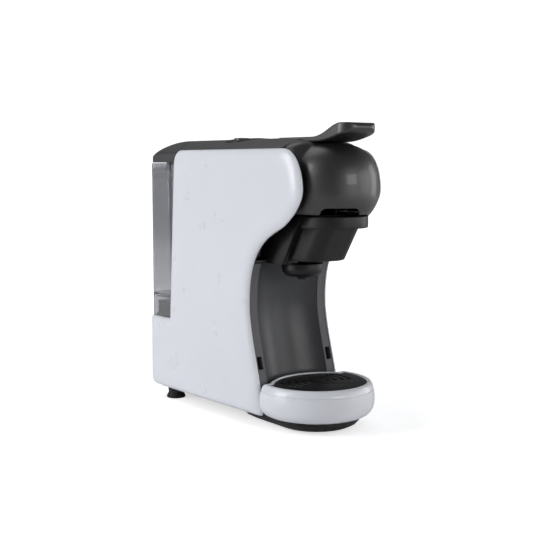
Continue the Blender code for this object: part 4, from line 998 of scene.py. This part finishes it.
def lever_line():
    """Side view of the lever from the root to the tip: Y and Z of its middle, and half its thickness.

    The root is an arc and a flat run of even thickness. In front of it the top rises in an S to the
    grip while the underside stays low, and both close in a round nose.
    """
    top, nose_y = LEVER_HIGH[2], LEVER_LOW[1]
    flat = LEVER_TOP - LEVER_PLATE
    root = arc(PIVOT, flat - PIVOT[1], 0, 90, 14)
    run = np.stack([np.linspace(PIVOT[0], GRIP_Y, 14), np.full(14, flat)], axis=1)
    start = joined(root, run)
    y = GRIP_Y + (nose_y - GRIP_Y) * np.sin(np.linspace(0, pi / 2, 70)[1:])
    upper_line = joined(bezier((GRIP_Y, LEVER_TOP), (-118.0, LEVER_TOP), (-126.0, top - 1.5),
                               (-140.0, top), 40), [(-160.0, top)])
    low = flat - LEVER_PLATE
    under_line = joined(bezier((GRIP_Y, low), (-113.0, low - 1.0), (-126.0, 299.5), (-141.0, 304.0), 40),
                        bezier((-141.0, 304.0), (-147.0, 305.8), (-152.0, 307.6), (-157.0, 310.0), 10))
    upper = np.interp(-y, -upper_line[:, 0], upper_line[:, 1])
    under = np.interp(-y, -under_line[:, 0], under_line[:, 1])
    close = bulge((y - nose_y) / 7.0)
    middle = (upper + under) / 2
    middle = middle + (311.6 - middle) * (1 - close)
    grip = np.stack([y, middle], axis=1)
    half = np.concatenate([np.full(len(start), LEVER_PLATE), (upper - under) / 2 * close])
    return np.concatenate([start, grip]), half


def lever():
    """Handle: a rounded flat section carried along the side view, its width round at the tip."""
    line, thick = lever_line()
    step = np.gradient(line, axis=0)
    step /= np.linalg.norm(step, axis=1)[:, None]
    upright = np.stack([step[:, 1], -step[:, 0]], axis=1)
    upright[line[:, 0] < GRIP_Y] = (0.0, 1.0)
    left = line[:, 0] - LEVER_LOW[1]
    nose = 15.5
    half = LEVER_HIGH[0] - nose * (1 - bulge(left / nose))
    edge = np.minimum(sizes().lever_round + 0.25 * (thick - LEVER_PLATE).clip(0), thick * 0.96)
    angles = np.concatenate([np.linspace(q, q + pi / 2, 7) for q in np.arange(4) * pi / 2])
    corner = np.repeat(np.array([(1, 1), (-1, 1), (-1, -1), (1, -1)]), 7, axis=0)
    across = corner[:, 0] * (half - edge)[:, None] + edge[:, None] * np.cos(angles)
    up = corner[:, 1] * (thick - edge)[:, None] + edge[:, None] * np.sin(angles)
    y = line[:, :1] + upright[:, :1] * up
    z = line[:, 1:] + upright[:, 1:] * up
    skin = Surface().tube(np.stack([across, y, z], axis=-1))
    reach = LEVER_HIGH[0] - 0.5
    barrel = [(2.8, -reach), (5, -reach), (5, reach), (2.8, reach)]
    turned(skin, barrel, (0, *PIVOT), "X", ring=True, steps=48)
    y, z = PIVOT
    ear = np.array([(y - 5, z + 3.5), (y + 5, z + 3.5), (y + 5, 300.0), (y - 9, 300.0)])
    crank = joined(arc(CRANK, 3.8, 120, 300, 16), arc(PIVOT, 4.6, -60, 120, 16))
    for side in (-1, 1):
        prism(skin, "X", ear, *sorted((side * (reach - 6.5), side * reach)))
        prism(skin, "X", crank, *sorted((side * 4.3, side * 7.5)))
    item = raw_object("lever_handle", skin)
    return place(item, "lever", "gloss_black", "lever")


def slanted_ring(z, shrink=0.0):
    """Section of the drawer's body: its front leans out with height and has round corners."""
    share = min((z - DRAWER_FLOOR) / (LIP_LOW - DRAWER_FLOOR), 1.0)
    front = -106.0 - 22.0 * share + shrink
    half = DRAWER_HALF - shrink
    corner = 16.0
    back = -36.0 - shrink
    plan = joined(arc((-half + corner, front + corner), corner, 180, 270, 14),
                  arc((half - corner, front + corner), corner, 270, 360, 14), [(half, back), (-half, back)])
    return on_axis("Z", plan, z)


def drawer():
    """Drawer: slanted body, a round gripping lip, the capsule's well and the pocket behind the lip."""
    rings = [slanted_ring(DRAWER_FLOOR + rise, shrink)
             for rise, shrink in ((0, 1.6), (0.5, 0.5), (1.5, 0))]
    rings += [slanted_ring(z) for z in np.linspace(180, LIP_LOW, 8)] + [slanted_ring(DRAWER_HIGH[2])]
    item = raw_object("drawer_body", Surface().tube(rings))
    radius = 36.5
    plan = joined(arc((0, DOME_Y), radius, 180, 360, 72), [(radius, -101.5), (-radius, -101.5)])
    middle = np.array((0, DOME_Y))

    top, low = DRAWER_HIGH[2], LIP_LOW
    levels = ((low, 1.4), (low + 0.2, 0.6), (low + 0.8, 0.1), (low + 1.6, 0.0), (top - 1.2, 0.0),
              (top - 0.5, 0.15), (top - 0.1, 0.55), (top, 1.1))
    lip = [on_axis("Z", middle + (plan - middle) * (1 - shrink / radius), z) for z, shrink in levels]
    combine(item, Surface().tube(lip), "UNION")
    well = [(0, 184), (13.5, 184), (15.5, top - 3), (19, top - 3), (19, top + 4), (0, top + 4)]
    combine(item, turned(Surface(), well, (0, BREW_Y, 0)))
    bore(item, 4, 170, 190, 0, BREW_Y, steps=40)
    combine(item, prism(Surface(), "Z", rounded((-21.5, -125.5), (21.5, -104.5), 3), top - 8, top + 3))
    return place(item, "capsule_drawer", "dark_plastic", "capsule_drawer", sharp=35)


def guide():
    """Channel for the drawer: two slanted walls, a back wall and the wide soffit with its outlet."""
    inner, outer = 27.6, 35.0
    floor, top = 175.3, DRAWER_HIGH[2]
    slant = np.array([(-33.0, SOFFIT), (-69.0, SOFFIT), (-88.0, 205.0), (-99.0, top), (-33.0, top)])
    skin = Surface()
    for s in (-1, 1):
        prism(skin, "X", slant, *sorted((s * inner, s * outer)))
    item = raw_object("drawer_channel", skin)
    across = inner + 1
    for low, high in (((-COVER_HALF, edge_at(SOFFIT) + 1.0, SOFFIT), (COVER_HALF, -12.0, floor)),
                      ((-across, -35.5, SOFFIT + 0.5), (across, -33.0, top)),
                      ((-across, -69.0, SOFFIT), (across, -33.5, floor))):
        combine(item, block(Surface(), low, high), "UNION")
    bore(item, 8, 165, 180, 0, BREW_Y, steps=48)
    soften(item, 0.6)
    return place(item, "casing", "dark_plastic", "capsule_guide")


def spout():
    """Turned bowl under the head and its nozzle."""
    top = 171.7
    bowl = [(21.4, top), *arc((21.4, top - 0.6), 0.6, 90, 0, 3),
            *arc((13.5, top - 6.2), (8.5, 7.8), 0, -90, 18),
            (13.5, top - 12.5), *arc((13.5, top - 6.2), (6.6, 6.3), -90, 0, 14), (20.1, top)]
    item = raw_object("spout_dish", turned(Surface(), bowl, (0, BREW_Y, 0), ring=True))
    place(item, "casing", "dark_plastic", "spout_bowl")
    nozzle = [(radius, top - down) for radius, down in (
        (13.2, 12.3), (13.2, 13.9), (12.6, 14.4), (6.4, 15), (5.3, 15.8), (5, 17.1), (4.6, 17.5),
        (3.4, 17.5), (3, 17.1), (3, 13), (11, 12.3))]
    item = raw_object("spout_tip", turned(Surface(), nozzle, (0, BREW_Y, 0), ring=True))
    return place(item, "casing", "dark_plastic", "spout_nozzle")


# ------------------------------------------------------------------ column

def column():
    """Hollow-fronted panel: an arc across, carried up along the panels' front edge."""
    half, radius = COLUMN_HIGH[0], 68.0
    x = np.linspace(-half, half, 41)
    z = np.linspace(COLUMN_LOW[2], COLUMN_HIGH[2], 80)[:, None]
    dip = np.sqrt(radius ** 2 - x ** 2) - np.sqrt(radius ** 2 - half ** 2)
    y = edge_at(np.maximum(z, 50.0)) + 1.5 + dip
    grid = np.stack([np.broadcast_to(x, y.shape), y, np.broadcast_to(z, y.shape)], axis=-1)
    item = raw_object("column_panel", Surface().grid(grid), closed=False)
    wall(item, 2.5)
    return place(item, "casing", "column_gloss", "column_cover")


def rail(side):
    """Flat rail with a slot, following the panels' front edge."""
    low, high = 42.0, COVER_HALF
    slot_x, slot_z = (44.65, 51.15), (60.5, 73.5)
    x = np.unique([low, *slot_x, high])
    z = np.unique(np.concatenate([np.linspace(RAIL_LOW[2], RAIL_HIGH[2], 90), slot_z]))
    in_rows = (z[:-1] >= slot_z[0]) & (z[:-1] < slot_z[1])
    in_columns = (x[:-1] >= slot_x[0]) & (x[:-1] < slot_x[1])
    hole = np.outer(in_rows, in_columns)
    y = edge_at(np.maximum(z, 50.0))[:, None] + 1.0 + 0 * x
    grid = np.stack([side * np.broadcast_to(x, y.shape), y, np.broadcast_to(z[:, None], y.shape)], axis=-1)
    item = raw_object("rail_right_bar" if side > 0 else "rail_left_bar",
                      Surface().grid(grid, flip=side < 0, hole=hole), closed=False)
    wall(item, 8.0)
    soften(item, 0.5)
    return place(item, "casing", "rail_grey", "right_rail" if side > 0 else "left_rail")


# ------------------------------------------------------------------ tray and base

def tray_plan(distance=0.0):
    """Round front, two ears beside the rails and a shallow round back, all moved in by a distance."""
    front = TRAY_R - distance
    back = TRAY_BACK_R - distance
    ear_y = TOE[0] - 0.8 - distance
    ear_x = np.sqrt(front ** 2 - (ear_y - TRAY_Y) ** 2)
    notch = np.sqrt(back ** 2 - (ear_y - TRAY_BACK_Y) ** 2)
    turn = np.degrees(np.arctan2(ear_y - TRAY_Y, ear_x))
    lean = np.degrees(np.arctan2(ear_y - TRAY_BACK_Y, notch))
    front_line = arc((0, TRAY_Y), front, 180 - turn, 360 + turn, 110)
    back_line = arc((0, TRAY_BACK_Y), back, lean, 180 - lean, 60)
    ear = np.linspace(0, 1, 9)[1:-1, None]
    right = front_line[-1] + (back_line[0] - front_line[-1]) * ear
    left = back_line[-1] + (front_line[0] - back_line[-1]) * ear
    return np.concatenate([front_line, right, back_line, left])


def tray():
    """Tray: plan rings moved in by the wall's profile, over the rim and down to the floor inside."""
    low, high = TRAY_LOW[2], TRAY_HIGH[2]
    groove = sizes().tray_groove
    side = [(low, 14.5), (low + 0.35, 12.2), (low + 1.4, 8.6), (15.6, 5.9), (18.0, 3.4), (21.5, 1.5),
            (25.0, 0.5), (29.0, 0.0), (33.0, 0.15), (37.0, 0.6), (39.8, 1.05), (40.6, 1.2),
            (40.9, 1.25 + groove), (41.5, 1.35 + groove), (41.8, 1.4), (42.6, 1.6), (44.2, 2.1),
            (45.8, 2.8), (47.0, 3.6), (47.9, 4.5), (high - 0.15, 5.4), (high, 6.4), (high, 7.2),
            (high - 0.2, 7.7), (high - 0.8, 8.0), (44.7, 8.0), (44.7, 10.3), (44.2, 10.5), (24.0, 10.5),
            (19.0, 12.0), (16.6, 14.4), (15.8, 17.5)]
    rings = np.stack([on_axis("Z", tray_plan(inset), z) for z, inset in side])
    item = raw_object("tray_bowl", Surface().tube(rings))
    return place(item, "drip_tray", "white_shell", "drip_tray", sharp=48)


def grid_plate():
    """Plate in the tray: plan rings with a rolled edge, cut by crescents in rows on both sides."""
    low, high = GRID_LOW[2], GRID_HIGH[2]
    start = 8.4
    levels = [(low, start + 0.5), (low + 0.5, start), (high - 0.7, start), (high - 0.2, start + 0.2),
              (high, start + 0.7)]
    rings = np.stack([on_axis("Z", tray_plan(inset), z) for z, inset in levels])
    item = raw_object("grid_plate", Surface().tube(rings))
    slots = Surface()
    for side in (0, 180):
        for radius, reach in ((14, 34), (22, 32), (30, 30), (38, 26)):
            outer = arc((0, TRAY_Y), radius + 1.7, side - reach, side + reach, 24)
            inner = arc((0, TRAY_Y), radius - 1.7, side + reach, side - reach, 24)
            prism(slots, "Z", joined(outer, inner), low - 2, high + 2)
    combine(item, slots)
    soften(item, 0.35, 2, 60)
    return place(item, "drip_grid", "dark_plastic", "drip_grid")


def foot(name, centre, radius, height, flare):
    """Turned rubber foot with a flared, softened sole."""
    profile = [(0, 0), (radius - 0.8, 0), *arc((radius - 0.8, 0.8), 0.8, -90, 0, 4)[1:]]
    if flare:
        profile += [(radius, 2.4), (radius - 1.1, 4.2), (radius - 2.2, 6.4), (radius - 2.1, 8.2),
                    (radius - 1.5, height)]
    else:
        profile += [(radius, height)]
    profile.append((0, height))
    item = raw_object(name + "_sole", turned(Surface(), profile, centre, steps=64))
    return place(item, "casing", "rubber", name)


def feet():
    """Two flared feet at the back and two plain pads in front."""
    for node in ("rear_foot_left", "rear_foot_right", "front_pad_left", "front_pad_right"):
        low, high = node_box(node)
        middle = (low + high) / 2
        foot(node, (middle[0], middle[1], 0), (high[0] - low[0]) / 2, high[2], node.startswith("rear"))


# ------------------------------------------------------------------ stage

def lamp(name, place_at, aim, size, power, tint=(1.0, 1.0, 1.0)):
    """A soft box that faces a point."""
    data = bpy.data.lights.new(name, "AREA")
    data.shape = "RECTANGLE"
    data.size, data.size_y = size
    data.energy = power * stage_settings().strength
    data.color = tint
    item = bpy.data.objects.new(name, data)
    item.location = place_at
    item.rotation_euler = (Vector(aim) - Vector(place_at)).to_track_quat("-Z", "Y").to_euler()
    bpy.context.scene.collection.objects.link(item)


def floor():
    """Wide pale floor that glows a little more with distance, so that it runs into the pale sky."""
    reach = np.linspace(-FLOOR_HALF, FLOOR_HALF, 9)
    x, y = np.meshgrid(reach, reach)
    item = raw_object("floor", Surface().grid(np.stack([x, y, 0 * x], axis=-1)), closed=False)
    item.data.shade_smooth()
    paint = Paint("floor_paint")
    cloud = paint.noise(2.0)
    base = paint.blend(cloud, colour((0.90, 0.90, 0.905)), colour((0.93, 0.93, 0.935)))
    away = paint.node("ShaderNodeVectorMath", {"operation": "LENGTH"}, {0: paint.place()}, output="Value")
    seen = paint.node("ShaderNodeLightPath", output="Is Camera Ray")
    glow = paint.ramp(away * 0.33, (0.10, 0.60), (0.75, 1.1)) * seen
    item.data.materials.append(paint.finish(Base_Color=base, Roughness=0.9, Specular_IOR_Level=0.1,
                                            Emission_Color=glow, Emission_Strength=1.0))


def camera():
    """The view that the stage is set for."""
    settings = stage_settings()
    data = bpy.data.cameras.new("view")
    data.lens = settings.lens
    data.sensor_width = 36.0
    data.clip_start, data.clip_end = 0.05, 50.0
    item = bpy.data.objects.new("view", data)
    item.location = settings.eye
    item.rotation_euler = (pi / 2 - settings.pitch, 0.0, settings.turn)
    bpy.context.scene.collection.objects.link(item)
    bpy.context.scene.camera = item


def sky():
    """White where it is seen directly, and a dim cool grey as a source of light."""
    world = bpy.data.worlds.new("sky")
    bpy.context.scene.world = world
    world.use_nodes = True
    tree = world.node_tree
    dim, white = tree.nodes["Background"], tree.nodes.new("ShaderNodeBackground")
    for shade, tint, strength in ((dim, (0.95, 0.97, 1.0), 0.16), (white, (1.0, 1.0, 1.0), 1.1)):
        shade.inputs["Color"].default_value = (*tint, 1.0)
        shade.inputs["Strength"].default_value = strength
    path = tree.nodes.new("ShaderNodeLightPath")
    mix = tree.nodes.new("ShaderNodeMixShader")
    tree.links.new(path.outputs["Is Camera Ray"], mix.inputs["Fac"])
    tree.links.new(dim.outputs[0], mix.inputs[1])
    tree.links.new(white.outputs[0], mix.inputs[2])
    tree.links.new(mix.outputs[0], tree.nodes["World Output"].inputs["Surface"])


# ------------------------------------------------------------------ operators

class BuildStage(bpy.types.Operator):
    """Floor, lamps, sky and camera"""
    bl_idname = "machine.build_stage"
    bl_label = "Stage"

    def execute(self, context):
        context.scene.view_settings.view_transform = "Standard"
        floor()
        camera()
        sky()
        lamp("front_box", (0.2, -2.0, 0.58), (0, -0.1, 0.28), (0.9, 0.5), 9)
        lamp("front_right_box", (1.35, -1.45, 0.5), (0, -0.1, 0.2), (1.0, 0.9), 6)
        lamp("right_box", (2.1, -0.5, 0.35), (0, -0.05, 0.15), (0.9, 1.4), 11)
        lamp("left_box", (-2.2, 0.95, 1.0), (0, 0.05, 0.15), (1.1, 1.9), 43, (0.98, 0.985, 1.0))
        lamp("top_box", (0.1, 1.0, 2.0), (0, 0, 0.1), (1.6, 1.2), 7)
        return {"FINISHED"}


class BuildSidePanels(bpy.types.Operator):
    """White side panels with soft front edges"""
    bl_idname = "machine.build_side_panels"
    bl_label = "Side panels"

    def execute(self, context):
        side_panel(-1)
        side_panel(1)
        return {"FINISHED"}


class BuildTop(bpy.types.Operator):
    """Crowned cover, button surround and buttons"""
    bl_idname = "machine.build_top"
    bl_label = "Top cover and buttons"

    def execute(self, context):
        cover()
        bezel()
        button("button_left")
        button("button_right")
        return {"FINISHED"}


class BuildTank(bpy.types.Operator):
    """Clear water tank and its lid"""
    bl_idname = "machine.build_tank"
    bl_label = "Tank and lid"

    def execute(self, context):
        tank()
        lid()
        return {"FINISHED"}


class BuildHead(bpy.types.Operator):
    """Dome, drawer channel and spout"""
    bl_idname = "machine.build_head"
    bl_label = "Head"

    def execute(self, context):
        dome()
        guide()
        spout()
        return {"FINISHED"}


class BuildLever(bpy.types.Operator):
    """Lever with its barrel and cranks"""
    bl_idname = "machine.build_lever"
    bl_label = "Lever"

    def execute(self, context):
        lever()
        return {"FINISHED"}


class BuildDrawer(bpy.types.Operator):
    """Capsule drawer"""
    bl_idname = "machine.build_drawer"
    bl_label = "Capsule drawer"

    def execute(self, context):
        drawer()
        return {"FINISHED"}


class BuildColumn(bpy.types.Operator):
    """Hollow column panel and the rails beside it"""
    bl_idname = "machine.build_column"
    bl_label = "Column and rails"

    def execute(self, context):
        column()
        rail(-1)
        rail(1)
        return {"FINISHED"}


class BuildTray(bpy.types.Operator):
    """Drip tray and its grid"""
    bl_idname = "machine.build_tray"
    bl_label = "Drip tray"

    def execute(self, context):
        tray()
        grid_plate()
        return {"FINISHED"}


class BuildFeet(bpy.types.Operator):
    """Rubber feet and pads"""
    bl_idname = "machine.build_feet"
    bl_label = "Feet"

    def execute(self, context):
        feet()
        return {"FINISHED"}


class FinishFrameNodes(bpy.types.Operator):
    """Detailed materials on the CAD nodes that stay"""
    bl_idname = "machine.finish_frame_nodes"
    bl_label = "Frame nodes"

    def execute(self, context):
        slots = {part["node"]: part["material_slot"] for part in frame["record"]["subparts"]}
        for name, item in frame["nodes"].items():
            if not item.hide_render:
                item.data.materials.clear()
                item.data.materials.append(material(slots[name]))
        return {"FINISHED"}


STEPS_IN_ORDER = (BuildStage, BuildSidePanels, BuildTop, BuildTank, BuildHead, BuildLever, BuildDrawer,
                  BuildColumn, BuildTray, BuildFeet, FinishFrameNodes)


class MachinePanel(bpy.types.Panel):
    """Lists the steps that build the machine"""
    bl_idname = "VIEW3D_PT_machine"
    bl_label = "Pod coffee machine"
    bl_space_type = "VIEW_3D"
    bl_region_type = "UI"
    bl_category = "Machine"

    def draw(self, context):
        for step in STEPS_IN_ORDER:
            self.layout.operator(step.bl_idname)
        for group in (sizes(), finishes(), stage_settings()):
            for name in group.__annotations__:
                self.layout.prop(group, name)


CLASSES = (MachineSizes, MachineFinishes, MachineStage, *STEPS_IN_ORDER, MachinePanel)


def register():
    for item in CLASSES:
        bpy.utils.register_class(item)
    bpy.types.Scene.machine_sizes = PointerProperty(type=MachineSizes)
    bpy.types.Scene.machine_finishes = PointerProperty(type=MachineFinishes)
    bpy.types.Scene.machine_stage = PointerProperty(type=MachineStage)


def unregister():
    del bpy.types.Scene.machine_stage
    del bpy.types.Scene.machine_finishes
    del bpy.types.Scene.machine_sizes
    for item in reversed(CLASSES):
        bpy.utils.unregister_class(item)


def main():
    register()
    for step in STEPS_IN_ORDER:
        group, name = step.bl_idname.split(".")
        getattr(getattr(bpy.ops, group), name)()


if __name__ == "__main__":
    main()
